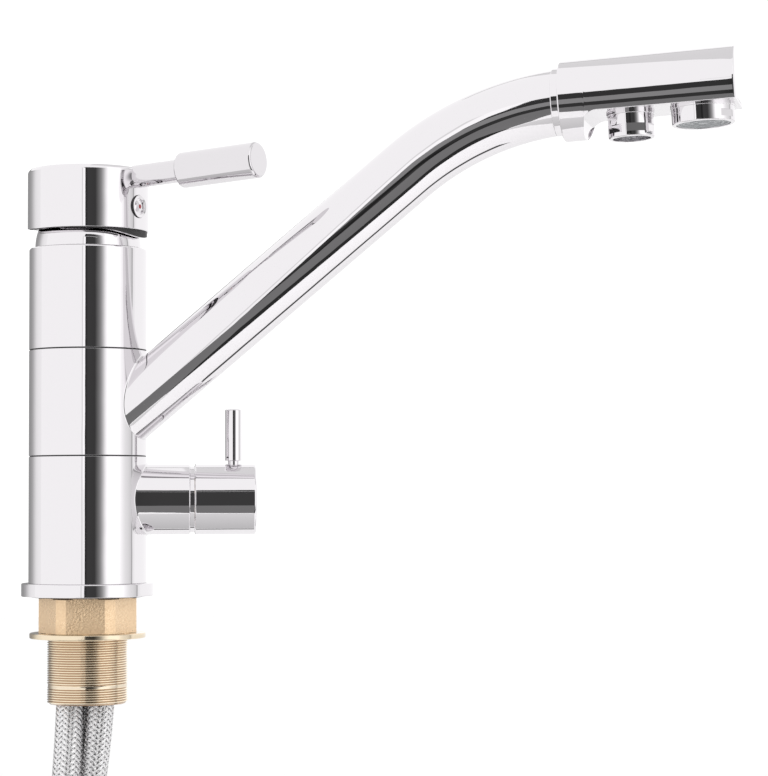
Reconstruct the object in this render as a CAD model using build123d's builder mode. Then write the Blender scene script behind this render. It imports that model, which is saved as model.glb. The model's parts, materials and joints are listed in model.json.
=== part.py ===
from build123d import *
import os
from math import cos, pi, radians, sin, tan

# Three way filtered water tap: a deck mixer with a swivelling spout and a side valve for filtered water.
# Millimetres. +Z is up, +X runs along the side valve, and the origin is the centre of the deck seat,
# the underside of the base ring. What lies below Z = 0 is under the worktop.

os.makedirs("parts", exist_ok=True)

# ---------------------------------------------------------------- driving dimensions
BODY_R = 25.0  # the three chrome sections of the column
FIT = 0.05  # radial play of a running fit
JOINT_GAP = 0.05  # play between a slide ring and the section that turns on it

# base ring, gasket, shank and nut
RING_R = 28.0
RING_TOP = 5.5
SHANK_R = 17.0
SHANK_BORE_R = 14.0
SHANK_END = -45.3
SHANK_TOP = 13.9
RELIEF_Z = -18.0
GASKET_R = 24.1
GASKET_PROUD = 0.4
NUT_ACROSS_FLATS = 38.0
NUT_TURNED_R = 20.65
NUT_FLAT_AZ = -87.25
FLANGE_TOP = -15.5
FLANGE_BOTTOM = -17.7
FLANGE_R = 24.5

# column sections, by height
BASE_TOP = 59.0
SLIDE_FLANGE = 0.3
SWIVEL_BOTTOM = BASE_TOP + SLIDE_FLANGE + JOINT_GAP
SWIVEL_TOP = 104.0
UPPER_BOTTOM = SWIVEL_TOP + SLIDE_FLANGE + 2 * JOINT_GAP
UPPER_FLOOR = 112.0
UPPER_TOP = 147.5
SLIDE_R = 18.0
SLIDE_LENGTH = 5.0

# core column and its water ways
CORE_R = 15.0
CORE_BOTTOM = 2.0
SWIVEL_BORE_R = CORE_R + 0.3
SPIGOT_R = 12.0
PORTS = {"hot": (-6.6, -3.3), "cold": (6.1, -4.1), "filter": (0.45, 7.35)}
PORT_R = 2.75
CROSS_R = 2.0
RETURN_R = 2.4
RETURN_Y = 1.3
RETURN_Z = 54.9
FILTER_GROOVE = (68.5, 75.5)
MIXED_GROOVE = (79.5, 91.5)
GROOVE_R = 13.0
SEAL_HEIGHTS = (66.5, 77.5, 94.0)
SEAL_WIDTH = 2.0

# side valve
VALVE_Z = 40.8
VALVE_R = 15.0
SLEEVE_END = 44.4
KNOB_START = 46.5
KNOB_END = 71.3
VALVE_BORE_R = 10.5
PIN_X = 61.8
PIN_R = 3.55
PIN_TOP = 38.4  # above the valve's axis

# spout
SPOUT_AZ = -19.0
SPOUT_RISE = 38.7
SPOUT_Z = 63.5  # where its centre line meets the column's axis
SPOUT_R = 13.5
SPOUT_WALL = 1.0
BEND_START = 140.3  # distance from the column's axis
BEND_R = 121.0
FILTER_TUBE_R = 2.9
FILTER_TUBE_DROP = 3.0  # below the spout's centre line

# outlet head, lengths along its own axis from its left face
HEAD_TILT = 2.7
HEAD_AT = 205.7
HEAD_R = 16.5
HEAD_LENGTH = 71.5
LEG_LENGTH = 8.7
FLAT_DROP = 7.0
LEG_CORNER_R = 6.5
COLLAR_LENGTH = 3.2
COLLAR_R = 13.9
NOZZLE_AT = 27.2
NOZZLE_R = 9.4
NOZZLE_DROP = 17.6
AERATOR_AT = 56.4
AERATOR_R = 12.8
AERATOR_DROP = 14.3

# lever and cartridge
LEVER_AZ = -33.0
LEVER_RISE = 2.9
LEVER_Z = 176.0  # where the rod's centre line meets the column's axis
PIVOT_Z = 148.0
DOME_R = 22.5
DOME_TOP = 160.0
CAP_R = 25.75
CAP_TOP = 181.3
CAP_RIM_Z = 156.1
CAP_RIM_SLOPE = 4.8
CAP_BORE_R = 23.1
CAP_CEILING = 170.0
ROD_R = 4.65
GRIP_R = 7.5
GRIP_START = 43.6
GRIP_END = 84.9
PLUG_Z = 164.5
PLUG_R = 4.9
STEM_HALF = 4.0
CARRIER_SHIFT = -1.8
ARM_LENGTH = 18.0  # from the pivot down to the ball

# hoses
HOSE_R = 6.0
HOSE_BORE_R = 3.2
CRIMP_R = 6.3
CRIMP_TOP = -3.0
HOSE_ROUTES = {
    "hot": [
        (*PORTS["hot"], -22), (*PORTS["hot"], -46), (-10, -10.5, -98), (-25, -14, -178),
        (-39, -15, -290), (-42.5, -14.5, -398),
    ],
    "cold": [
        (*PORTS["cold"], -22), (*PORTS["cold"], -46), (-0.6, 1, -98), (-11, 8, -163),
        (-19.5, 12, -268), (-18.5, 11, -368),
    ],
    "filter": [
        (*PORTS["filter"], -22), (*PORTS["filter"], -46), (-0.5, 13.8, -98), (1.5, 26, -166),
        (7, 36, -275), (8, 38.4, -382),
    ],
}
HOSE_NUT_ACROSS_FLATS = 20.0
HOSE_NUT_THREAD_R = 7.475
HOSE_NUT_THREAD_LENGTH = 9.5


# ---------------------------------------------------------------- directions and planes
def outward(azimuth, distance=1.0, height=0.0):
    """The point at a distance from the column's axis, in a direction seen from above."""
    return (distance * cos(radians(azimuth)), distance * sin(radians(azimuth)), height)


def upright(azimuth):
    """The upright plane through the column's axis: its x runs outward and its y runs up."""
    side = (sin(radians(azimuth)), -cos(radians(azimuth)), 0)
    return Plane(origin=(0, 0, 0), x_dir=outward(azimuth), z_dir=side)


spout_plane = upright(SPOUT_AZ)
lever_plane = upright(LEVER_AZ)
valve_axis = Axis((0, 0, VALVE_Z), (1, 0, 0))

# the spout's centre line: a straight rise, then an arc that ends on the head's axis
bend_z = SPOUT_Z + BEND_START * tan(radians(SPOUT_RISE))
bend_centre = (
    BEND_START + BEND_R * sin(radians(SPOUT_RISE)),
    bend_z - BEND_R * cos(radians(SPOUT_RISE)),
)
bend_end = (
    bend_centre[0] - BEND_R * sin(radians(HEAD_TILT)),
    bend_centre[1] + BEND_R * cos(radians(HEAD_TILT)),
)
head_left_z = bend_end[1] - (bend_end[0] - HEAD_AT) * tan(radians(HEAD_TILT))
head_plane = Plane(
    origin=spout_plane.from_local_coords((HEAD_AT, head_left_z, 0)),
    x_dir=outward(SPOUT_AZ, cos(radians(HEAD_TILT)), sin(radians(HEAD_TILT))),
    z_dir=spout_plane.z_dir,
)
head_axis = Axis(head_plane.origin, head_plane.x_dir)


def down_from_head(along, drop):
    """A plane across an outlet's axis, whose normal points down out of the head."""
    return Plane(
        origin=head_plane.from_local_coords((along, -drop, 0)),
        x_dir=head_plane.x_dir,
        z_dir=-head_plane.y_dir,
    )


def centre_line(offset, first, straight_end):
    """The spout's centre line, moved down by offset: points for a line, an arc and a last line."""
    rise = radians(SPOUT_RISE)
    tilt = radians(HEAD_TILT)
    middle = (rise + tilt) / 2
    radius = BEND_R - offset
    drop = offset / cos(rise)
    start = (first, SPOUT_Z + first * tan(rise) - drop)
    on_arc = [
        (bend_centre[0] - radius * sin(a), bend_centre[1] + radius * cos(a))
        for a in (rise, middle, tilt)
    ]
    along = straight_end - (bend_end[0] - HEAD_AT) / cos(tilt)
    last = (on_arc[2][0] + along * cos(tilt), on_arc[2][1] + along * sin(tilt))
    return start, on_arc, last


# ================================================================ deck fixing
with BuildPart() as base_ring:
    with BuildSketch(Plane.XZ):
        Polygon(
            (SHANK_R + FIT, 2), (GASKET_R + 0.1, 2), (GASKET_R + 0.1, 0), (RING_R, 0),
            (RING_R, RING_TOP), (SHANK_R + FIT, RING_TOP), align=None,
        )
    revolve(axis=Axis.Z)
    outer_rims = base_ring.edges().filter_by(GeomType.CIRCLE).sort_by(lambda e: e.radius)[-2:]
    chamfer(outer_rims, 0.3)

with BuildPart() as base_gasket:
    with BuildSketch(Plane.XY.offset(-GASKET_PROUD)):
        Circle(GASKET_R)
        Circle(SHANK_R + 0.4, mode=Mode.SUBTRACT)
    extrude(amount=GASKET_PROUD + 2)

with BuildPart() as threaded_shank:
    with BuildSketch(Plane.XY.offset(SHANK_END)):
        Circle(SHANK_R)
        Circle(SHANK_BORE_R, mode=Mode.SUBTRACT)
    extrude(amount=SHANK_TOP - SHANK_END)
    lower_rim = threaded_shank.edges().filter_by(GeomType.CIRCLE).group_by(Axis.Z)[0]
    chamfer(lower_rim.sort_by(lambda e: e.radius)[-1], 1.0)
    # a relief groove, hidden in the nut, parts the lower thread from the upper one
    with BuildSketch(Plane.XY.offset(RELIEF_Z)):
        Circle(SHANK_R + 1)
        Circle(SHANK_R - 0.9, mode=Mode.SUBTRACT)
    extrude(amount=1.2, mode=Mode.SUBTRACT)

with BuildPart() as fixing_nut:
    with BuildSketch(Plane.XY.offset(FLANGE_BOTTOM)):
        Circle(FLANGE_R)
    extrude(amount=FLANGE_TOP - FLANGE_BOTTOM)
    flange_rims = fixing_nut.edges().filter_by(GeomType.CIRCLE)
    chamfer(flange_rims, 0.5)
    with BuildSketch(Plane.XY.offset(FLANGE_TOP)):
        RegularPolygon(NUT_ACROSS_FLATS / 2, 6, major_radius=False, rotation=NUT_FLAT_AZ + 30)
        Circle(NUT_TURNED_R, mode=Mode.INTERSECT)
    extrude(amount=-GASKET_PROUD - FLANGE_TOP)
    with Locations((0, 0, FLANGE_BOTTOM)):
        Cylinder(
            SHANK_R + FIT, 40, align=(Align.CENTER, Align.CENTER, Align.CENTER), mode=Mode.SUBTRACT
        )

# ================================================================ core column
with BuildPart() as core_column:
    with BuildSketch(Plane.XZ):
        Polygon(
            (0, CORE_BOTTOM), (SHANK_BORE_R - 0.1, CORE_BOTTOM), (SHANK_BORE_R - 0.1, SHANK_TOP),
            (CORE_R, SHANK_TOP), (CORE_R, UPPER_BOTTOM), (SPIGOT_R, UPPER_BOTTOM),
            (SPIGOT_R, UPPER_FLOOR), (0, UPPER_FLOOR), align=None,
        )
    revolve(axis=Axis.Z)
    with BuildSketch(Plane.XZ):
        for low, high in (FILTER_GROOVE, MIXED_GROOVE):
            Polygon(
                (GROOVE_R, low), (CORE_R + 1, low), (CORE_R + 1, high), (GROOVE_R, high), align=None
            )
        for height in SEAL_HEIGHTS:
            with Locations((CORE_R, height)):
                Rectangle(2 * (CORE_R - GROOVE_R), SEAL_WIDTH + 0.1)
    revolve(axis=Axis.Z, mode=Mode.SUBTRACT)
    # the three hoses screw in from below
    with BuildSketch(Plane.XY.offset(CORE_BOTTOM)):
        with Locations(*PORTS.values()):
            Circle(4.95)
    extrude(amount=8.5, mode=Mode.SUBTRACT)
    # hot and cold run straight up to the cartridge
    with BuildSketch(Plane.XY):
        with Locations(PORTS["hot"], PORTS["cold"]):
            Circle(PORT_R)
    extrude(amount=UPPER_FLOOR, mode=Mode.SUBTRACT)
    # unfiltered water to the side valve
    with BuildSketch(Plane.XY):
        with Locations(PORTS["filter"]):
            Circle(PORT_R)
    extrude(amount=VALVE_Z + CROSS_R + 0.8, mode=Mode.SUBTRACT)
    with BuildSketch(Plane.YZ.offset(PORTS["filter"][0])):
        with Locations((PORTS["filter"][1], VALVE_Z)):
            Circle(CROSS_R)
    extrude(amount=CORE_R + 1, mode=Mode.SUBTRACT)
    # filtered water back from the valve and up to the swivel section
    return_z = RETURN_Z
    rise_z = sum(FILTER_GROOVE) / 2
    with BuildSketch(Plane.YZ):
        with Locations((RETURN_Y, return_z)):
            Circle(CROSS_R)
    extrude(amount=CORE_R + 1, mode=Mode.SUBTRACT)
    with BuildSketch(Plane.XY.offset(return_z - CROSS_R - 0.8)):
        with Locations((0, RETURN_Y)):
            Circle(RETURN_R)
    extrude(amount=rise_z - return_z + 2 * CROSS_R + 1.6, mode=Mode.SUBTRACT)
    with BuildSketch(Plane.XZ.offset(-RETURN_Y)):
        with Locations((0, rise_z)):
            Circle(CROSS_R)
    extrude(amount=-CORE_R, mode=Mode.SUBTRACT)
    # mixed water down from the cartridge
    mixed_z = sum(MIXED_GROOVE) / 2
    with BuildSketch(Plane.XY.offset(mixed_z - CROSS_R - 1.2)):
        with Locations(PORTS["filter"]):
            Circle(PORT_R)
    extrude(amount=UPPER_FLOOR - mixed_z + CROSS_R + 1.2, mode=Mode.SUBTRACT)
    with BuildSketch(Plane.XZ.offset(-PORTS["filter"][1])):
        with Locations((PORTS["filter"][0], mixed_z)):
            Circle(CROSS_R + 0.3)
    extrude(amount=-CORE_R, mode=Mode.SUBTRACT)

with BuildPart() as core_seals:
    with BuildSketch(Plane.XZ):
        for height in SEAL_HEIGHTS:
            with Locations(((GROOVE_R + SWIVEL_BORE_R) / 2, height)):
                Rectangle(SWIVEL_BORE_R - GROOVE_R - 2 * FIT, SEAL_WIDTH)
    revolve(axis=Axis.Z)

# ================================================================ base body with the valve's sleeve
with BuildPart() as base_body:
    with BuildSketch(Plane.XY.offset(RING_TOP)):
        Circle(BODY_R)
    extrude(amount=BASE_TOP - RING_TOP)
    with BuildSketch(Plane.YZ):
        with Locations((0, VALVE_Z)):
            Circle(VALVE_R)
    extrude(amount=SLEEVE_END)
    sleeve_rim = base_body.edges().filter_by(GeomType.CIRCLE).sort_by(Axis.X)[-1]
    chamfer(sleeve_rim, 0.5)
    with BuildSketch(Plane.XZ):
        Polygon(
            (0, RING_TOP), (SHANK_R + FIT, RING_TOP), (SHANK_R + FIT, SHANK_TOP + 0.1),
            (CORE_R + 0.1, SHANK_TOP + 0.1), (CORE_R + 0.1, BASE_TOP), (0, BASE_TOP), align=None,
        )
    revolve(axis=Axis.Z, mode=Mode.SUBTRACT)
    with BuildSketch(Plane.YZ):
        with Locations((0, VALVE_Z)):
            Circle(VALVE_BORE_R)
    extrude(amount=SLEEVE_END, mode=Mode.SUBTRACT)
    # the way back from the valve's side windows to the core
    return_plane = Plane(origin=(25, RETURN_Y, 50.4), x_dir=(0, 1, 0), z_dir=(-1, 0, 0.45))
    with BuildSketch(return_plane):
        Circle(1.9)
    extrude(amount=11.5, mode=Mode.SUBTRACT)

# ================================================================ swivel joint
with BuildPart() as lower_slide_ring:
    with BuildSketch(Plane.XZ):
        Polygon(
            (CORE_R + FIT, BASE_TOP), (BODY_R - 0.35, BASE_TOP),
            (BODY_R - 0.35, BASE_TOP + SLIDE_FLANGE), (SLIDE_R, BASE_TOP + SLIDE_FLANGE),
            (SLIDE_R, BASE_TOP + SLIDE_LENGTH), (CORE_R + FIT, BASE_TOP + SLIDE_LENGTH), align=None,
        )
    revolve(axis=Axis.Z)

with BuildPart() as upper_slide_ring:
    ring_low = SWIVEL_TOP + JOINT_GAP
    with BuildSketch(Plane.XZ):
        Polygon(
            (CORE_R + FIT, ring_low + SLIDE_FLANGE), (BODY_R - 0.35, ring_low + SLIDE_FLANGE),
            (BODY_R - 0.35, ring_low), (SLIDE_R, ring_low),
            (SLIDE_R, UPPER_BOTTOM - SLIDE_LENGTH), (CORE_R + FIT, UPPER_BOTTOM - SLIDE_LENGTH),
            align=None,
        )
    revolve(axis=Axis.Z)

mixed_way_plane = Plane(
    origin=spout_plane.from_local_coords((0, SPOUT_Z + 7.2 / cos(radians(SPOUT_RISE)), 0)),
    x_dir=spout_plane.z_dir,
    z_dir=outward(SPOUT_AZ, cos(radians(SPOUT_RISE)), sin(radians(SPOUT_RISE))),
)
filter_way_plane = Plane(
    origin=spout_plane.from_local_coords(
        (0, SPOUT_Z - FILTER_TUBE_DROP / cos(radians(SPOUT_RISE)), 0)
    ),
    x_dir=spout_plane.z_dir,
    z_dir=outward(SPOUT_AZ, cos(radians(SPOUT_RISE)), sin(radians(SPOUT_RISE))),
)
with BuildPart() as swivel_section:
    with BuildSketch(Plane.XZ):
        Polygon(
            (SLIDE_R + FIT, SWIVEL_BOTTOM), (BODY_R, SWIVEL_BOTTOM), (BODY_R, SWIVEL_TOP),
            (SLIDE_R + FIT, SWIVEL_TOP), (SLIDE_R + FIT, SWIVEL_TOP - SLIDE_LENGTH - 0.3),
            (SWIVEL_BORE_R, SWIVEL_TOP - SLIDE_LENGTH - 0.3),
            (SWIVEL_BORE_R, SWIVEL_BOTTOM + SLIDE_LENGTH + 0.3),
            (SLIDE_R + FIT, SWIVEL_BOTTOM + SLIDE_LENGTH + 0.3), align=None,
        )
    revolve(axis=Axis.Z)
    with BuildSketch(mixed_way_plane.offset(14)):
        Circle(4.5)
    extrude(amount=32, mode=Mode.SUBTRACT)
    with BuildSketch(filter_way_plane.offset(14)):
        Circle(FILTER_TUBE_R + FIT)
    extrude(amount=32, mode=Mode.SUBTRACT)

# ================================================================ spout
tube_start, tube_arc, tube_end = centre_line(0, 5, 1)
with BuildPart() as spout_tube:
    with BuildLine(spout_plane):
        Line(tube_start, tube_arc[0])
        ThreePointArc(*tube_arc)
    with BuildSketch(Plane(
        origin=spout_plane.from_local_coords((*tube_start, 0)),
        x_dir=spout_plane.z_dir,
        z_dir=mixed_way_plane.z_dir,
    )):
        Circle(SPOUT_R)
        Circle(SPOUT_R - SPOUT_WALL, mode=Mode.SUBTRACT)
    sweep()
    with Locations((0, 0, SPOUT_Z)):
        Cylinder(BODY_R, 120, mode=Mode.SUBTRACT)
    # the tube's end is cut square to the head, against the collar
    collar_plane = Plane(
        origin=head_plane.from_local_coords((-COLLAR_LENGTH, 0, 0)),
        x_dir=head_plane.y_dir,
        z_dir=head_plane.x_dir,
    )
    split(bisect_by=collar_plane, keep=Keep.BOTTOM)

fine_start, fine_arc, fine_end = centre_line(FILTER_TUBE_DROP, 17, 15)
with BuildPart() as filter_tube:
    with BuildLine(spout_plane):
        Line(fine_start, fine_arc[0])
        ThreePointArc(*fine_arc)
        Line(fine_arc[2], fine_end)
    with BuildSketch(Plane(
        origin=spout_plane.from_local_coords((*fine_start, 0)),
        x_dir=spout_plane.z_dir,
        z_dir=mixed_way_plane.z_dir,
    )):
        Circle(FILTER_TUBE_R)
        Circle(FILTER_TUBE_R - 0.9, mode=Mode.SUBTRACT)
    sweep()

with BuildPart() as spout_collar:
    with BuildSketch(head_plane):
        Polygon(
            (-COLLAR_LENGTH - 4.5, 9.5), (-COLLAR_LENGTH - 4.5, 11.5), (-COLLAR_LENGTH, 11.5),
            (-COLLAR_LENGTH, COLLAR_R), (0, COLLAR_R), (0, 12), (5, 12), (5, 9.5), align=None,
        )
    revolve(axis=head_axis)

with BuildPart() as outlet_head:
    with BuildSketch(head_plane):
        Polygon((0, 0), (0, HEAD_R), (HEAD_LENGTH, HEAD_R), (HEAD_LENGTH, 0), align=None)
    revolve(axis=head_axis)
    chamfer(outlet_head.edges().filter_by(GeomType.CIRCLE), 0.5)
    # the underside is cut flat past the leg, with a hollow corner between them
    with BuildSketch(head_plane):
        with BuildLine():
            Polyline(
                (LEG_LENGTH, -FLAT_DROP - LEG_CORNER_R), (LEG_LENGTH, -HEAD_R - 2),
                (HEAD_LENGTH + 5, -HEAD_R - 2), (HEAD_LENGTH + 5, -FLAT_DROP),
                (LEG_LENGTH + LEG_CORNER_R, -FLAT_DROP),
            )
            RadiusArc(
                (LEG_LENGTH + LEG_CORNER_R, -FLAT_DROP),
                (LEG_LENGTH, -FLAT_DROP - LEG_CORNER_R), -LEG_CORNER_R,
            )
        make_face()
    extrude(amount=HEAD_R + 2, both=True, mode=Mode.SUBTRACT)
    # water ways: collar socket, mixed bore above, filter bore below, and the two outlets
    with BuildSketch(Plane(origin=head_plane.origin, x_dir=head_plane.y_dir, z_dir=head_plane.x_dir)):
        Circle(12 + FIT)
    extrude(amount=6, mode=Mode.SUBTRACT)
    with BuildSketch(Plane(origin=head_plane.origin, x_dir=head_plane.y_dir, z_dir=head_plane.x_dir)):
        with Locations((6.8, 0)):
            Circle(6.2)
    extrude(amount=AERATOR_AT + 6, mode=Mode.SUBTRACT)
    with BuildSketch(Plane(origin=head_plane.origin, x_dir=head_plane.y_dir, z_dir=head_plane.x_dir)):
        with Locations((-FILTER_TUBE_DROP, 0)):
            Circle(FILTER_TUBE_R + FIT)
    extrude(amount=16, mode=Mode.SUBTRACT)
    with BuildSketch(Plane(origin=head_plane.origin, x_dir=head_plane.y_dir, z_dir=head_plane.x_dir)):
        with Locations((-FILTER_TUBE_DROP, 0)):
            Circle(CROSS_R)
    extrude(amount=NOZZLE_AT, mode=Mode.SUBTRACT)
    with BuildSketch(down_from_head(NOZZLE_AT, FLAT_DROP)):
        Circle(7)
    extrude(amount=-4.2, mode=Mode.SUBTRACT)
    with BuildSketch(down_from_head(AERATOR_AT, FLAT_DROP)):
        Circle(10)
    extrude(amount=-4.6, mode=Mode.SUBTRACT)
    with BuildSketch(down_from_head(AERATOR_AT, FLAT_DROP)):
        Circle(5.5)
    extrude(amount=-11, mode=Mode.SUBTRACT)

# ================================================================ the two outlets
nozzle_top = down_from_head(NOZZLE_AT, FLAT_DROP)
nozzle_axis = Axis(nozzle_top.origin, nozzle_top.z_dir)
nozzle_side = Plane(origin=nozzle_top.origin, x_dir=nozzle_top.x_dir, z_dir=-nozzle_top.y_dir)
NOZZLE_LENGTH = NOZZLE_DROP - FLAT_DROP
NOZZLE_FLATS = 17.2
NOZZLE_FLAT_AZ = -89.3
with BuildPart() as filter_nozzle:
    with BuildSketch(nozzle_side):
        Polygon(
            (4.6, -4.2), (6.9, -4.2), (6.9, 0), (NOZZLE_R + 0.4, 0), (NOZZLE_R + 0.4, 1.1),
            (NOZZLE_R, 1.1), (NOZZLE_R, NOZZLE_LENGTH - 0.7), (NOZZLE_R - 0.7, NOZZLE_LENGTH),
            (7.7, NOZZLE_LENGTH), (7.7, 5.4), (4.6, 5.4), align=None,
        )
    revolve(axis=nozzle_axis)
    # six spanner flats, milled between the rounded rim and the smooth part
    with BuildSketch(nozzle_top.offset(5.4)):
        Circle(NOZZLE_R + 2)
        RegularPolygon(
            NOZZLE_FLATS / 2, 6, major_radius=False, rotation=SPOUT_AZ - NOZZLE_FLAT_AZ + 30,
            mode=Mode.SUBTRACT,
        )
    extrude(amount=3.2, mode=Mode.SUBTRACT)

with BuildPart() as nozzle_insert:
    with BuildSketch(nozzle_top.offset(5.4)):
        Circle(7.65)
        with PolarLocations(4.2, 5):
            Circle(1.1, mode=Mode.SUBTRACT)
    extrude(amount=1.4)

aerator_top = down_from_head(AERATOR_AT, FLAT_DROP)
aerator_axis = Axis(aerator_top.origin, aerator_top.z_dir)
aerator_side = Plane(origin=aerator_top.origin, x_dir=aerator_top.x_dir, z_dir=-aerator_top.y_dir)
AERATOR_LENGTH = AERATOR_DROP - FLAT_DROP
AERATOR_FLAT_AZ = -53.0
with BuildPart() as aerator_housing:
    with BuildSketch(aerator_side):
        Polygon(
            (8.2, -4.6), (9.9, -4.6), (9.9, 0), (AERATOR_R + 0.3, 0), (AERATOR_R + 0.3, 0.9),
            (AERATOR_R, 0.9), (AERATOR_R, AERATOR_LENGTH - 0.8),
            (AERATOR_R - 0.8, AERATOR_LENGTH), (10.9, AERATOR_LENGTH), (10.9, 1.6), (8.2, 1.6),
            align=None,
        )
    revolve(axis=aerator_axis)
    with BuildSketch(aerator_top.offset(2.9)):
        with Locations(Location((0, 0), SPOUT_AZ - AERATOR_FLAT_AZ)):
            with Locations((AERATOR_R + 4.5, 0), (-AERATOR_R - 4.5, 0)):
                Rectangle(10, 30)
    extrude(amount=2.8, mode=Mode.SUBTRACT)

with BuildPart() as aerator_insert:
    with BuildSketch(aerator_side):
        Polygon(
            (0, 2.0), (10.85, 2.0), (10.85, 6.9), (9.8, 6.9), (9.8, 6.2), (7.2, 6.2), (6.8, 6.8),
            (6.4, 6.2), (0, 6.2),
            align=None,
        )
    revolve(axis=aerator_axis)

# ================================================================ upper body and cartridge
with BuildPart() as upper_body:
    with BuildSketch(Plane.XZ):
        Polygon(
            (SPIGOT_R + FIT, UPPER_BOTTOM), (BODY_R, UPPER_BOTTOM), (BODY_R, UPPER_TOP),
            (21.5, UPPER_TOP), (21.5, 140), (20.2, 140), (20.2, UPPER_FLOOR),
            (SPIGOT_R + FIT, UPPER_FLOOR), align=None,
        )
    revolve(axis=Axis.Z)
    top_rim = upper_body.edges().filter_by(GeomType.CIRCLE).group_by(Axis.Z)[-1]
    chamfer(top_rim.sort_by(lambda e: e.radius)[-1], 0.6)

with BuildPart() as cartridge_housing:
    with BuildSketch(Plane.XZ):
        Polygon(
            (0, UPPER_FLOOR), (20.1, UPPER_FLOOR), (20.1, 140), (15, 140), (15, 147.2),
            (12.65, 147.2), (12.65, 138.4), (17, 138.4), (17, 115), (0, 115), align=None,
        )
    revolve(axis=Axis.Z)
    with BuildSketch(Plane.XY.offset(UPPER_FLOOR)):
        with Locations(*PORTS.values()):
            Circle(2.5)
    extrude(amount=3, mode=Mode.SUBTRACT)

# hot and cold come up through curved slots, and the outlet's slot reaches the middle
port_r = (PORTS["filter"][0] ** 2 + PORTS["filter"][1] ** 2) ** 0.5
hot_slot = CenterArc((0, 0), port_r, 206.5, 35)
cold_slot = CenterArc((0, 0), port_r, 326, -27)
outlet_slot = Line((0, 1), PORTS["filter"])
with BuildPart() as fixed_ceramic_disc:
    with BuildSketch(Plane.XY.offset(115)):
        Circle(16.6)
        SlotArc(hot_slot, 4.6, mode=Mode.SUBTRACT)
        SlotArc(cold_slot, 4.6, mode=Mode.SUBTRACT)
        SlotArc(outlet_slot, 4.6, mode=Mode.SUBTRACT)
    extrude(amount=4.5)

# the moving disc slides under the carrier as the lever lifts
carrier_centre = outward(LEVER_AZ, CARRIER_SHIFT)[:2]
with BuildPart() as moving_ceramic_disc:
    with BuildSketch(Plane.XY.offset(119.55)):
        with Locations(carrier_centre):
            Circle(12.0)
    extrude(amount=5)
    with BuildSketch(Plane.XY.offset(119.55)):
        with Locations(carrier_centre):
            Circle(4.2)
    extrude(amount=2.6, mode=Mode.SUBTRACT)

with BuildPart() as disc_carrier:
    with BuildSketch(Plane.XY.offset(124.55)):
        with Locations(carrier_centre):
            Circle(12.2)
    extrude(amount=10.2)
    # a flared pocket takes the ball of the stem
    with BuildSketch(Plane.XZ):
        Polygon((0, 126.3), (3.3, 126.3), (3.3, 131.2), (6.2, 134.9), (0, 134.9), align=None)
    revolve(axis=Axis.Z, mode=Mode.SUBTRACT)

with BuildPart() as cartridge_turret:
    with BuildSketch(Plane.XZ):
        Polygon(
            (0, 135.1), (15.5, 135.1), (15.5, 138.2), (12.6, 138.2), (12.6, 153), (0, 153),
            align=None,
        )
    revolve(axis=Axis.Z)
    with BuildSketch(Plane.XY.offset(134)):
        Rectangle(14.8, 11.6, rotation=LEVER_AZ)
    extrude(amount=20, mode=Mode.SUBTRACT)
    with BuildSketch(lever_plane):
        with Locations((0, PIVOT_Z)):
            Circle(1.5)
    extrude(amount=20, both=True, mode=Mode.SUBTRACT)

with BuildPart() as pivot_pin:
    with BuildSketch(lever_plane):
        with Locations((0, PIVOT_Z)):
            Circle(1.5)
    extrude(amount=12.2, both=True)

with BuildPart() as cartridge_stem:
    with BuildSketch(lever_plane):
        with Locations((0, PIVOT_Z)):
            Circle(5.2)
    extrude(amount=5.5, both=True)
    with BuildSketch(Plane.XY.offset(PIVOT_Z)):
        Rectangle(2 * STEM_HALF, 2 * STEM_HALF, rotation=LEVER_AZ)
    extrude(amount=168.5 - PIVOT_Z)
    with BuildSketch(Plane.XY.offset(PIVOT_Z - ARM_LENGTH)):
        Circle(2.3)
    extrude(amount=ARM_LENGTH)
    with BuildSketch(lever_plane):
        Polygon(
            (0, PIVOT_Z - ARM_LENGTH - 2.6), (1.6, PIVOT_Z - ARM_LENGTH - 2.6),
            (3.0, PIVOT_Z - ARM_LENGTH - 0.8), (3.0, PIVOT_Z - ARM_LENGTH + 0.8),
            (1.6, PIVOT_Z - ARM_LENGTH + 2.6), (0, PIVOT_Z - ARM_LENGTH + 2.6), align=None,
        )
    revolve(axis=Axis.Z)
    with BuildSketch(lever_plane):
        with Locations((0, PIVOT_Z)):
            Circle(1.5 + FIT)
    extrude(amount=10, both=True, mode=Mode.SUBTRACT)

with BuildPart() as cartridge_nut:
    with BuildSketch(Plane.XY.offset(140)):
        Circle(21.45)
        Circle(15.1, mode=Mode.SUBTRACT)
    extrude(amount=5.2)

with BuildPart() as dome_cover:
    inner_r = DOME_R - 1.7
    rise = DOME_TOP - PIVOT_Z
    outer_lip = (DOME_R**2 - rise**2) ** 0.5
    inner_lip = (inner_r**2 - rise**2) ** 0.5
    waist = (cos(radians(16)), sin(radians(16)))
    # two cones stand in for the dome's ball shape
    with BuildSketch(Plane.XZ):
        Polygon(
            (inner_r, PIVOT_Z), (19.6, 145.5), (21.4, 145.5), (21.4, UPPER_TOP),
            (DOME_R, UPPER_TOP), (DOME_R, PIVOT_Z),
            (DOME_R * waist[0], PIVOT_Z + DOME_R * waist[1]), (outer_lip, DOME_TOP),
            (inner_lip, DOME_TOP), (inner_r * waist[0], PIVOT_Z + inner_r * waist[1]), align=None,
        )
    revolve(axis=Axis.Z)

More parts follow.
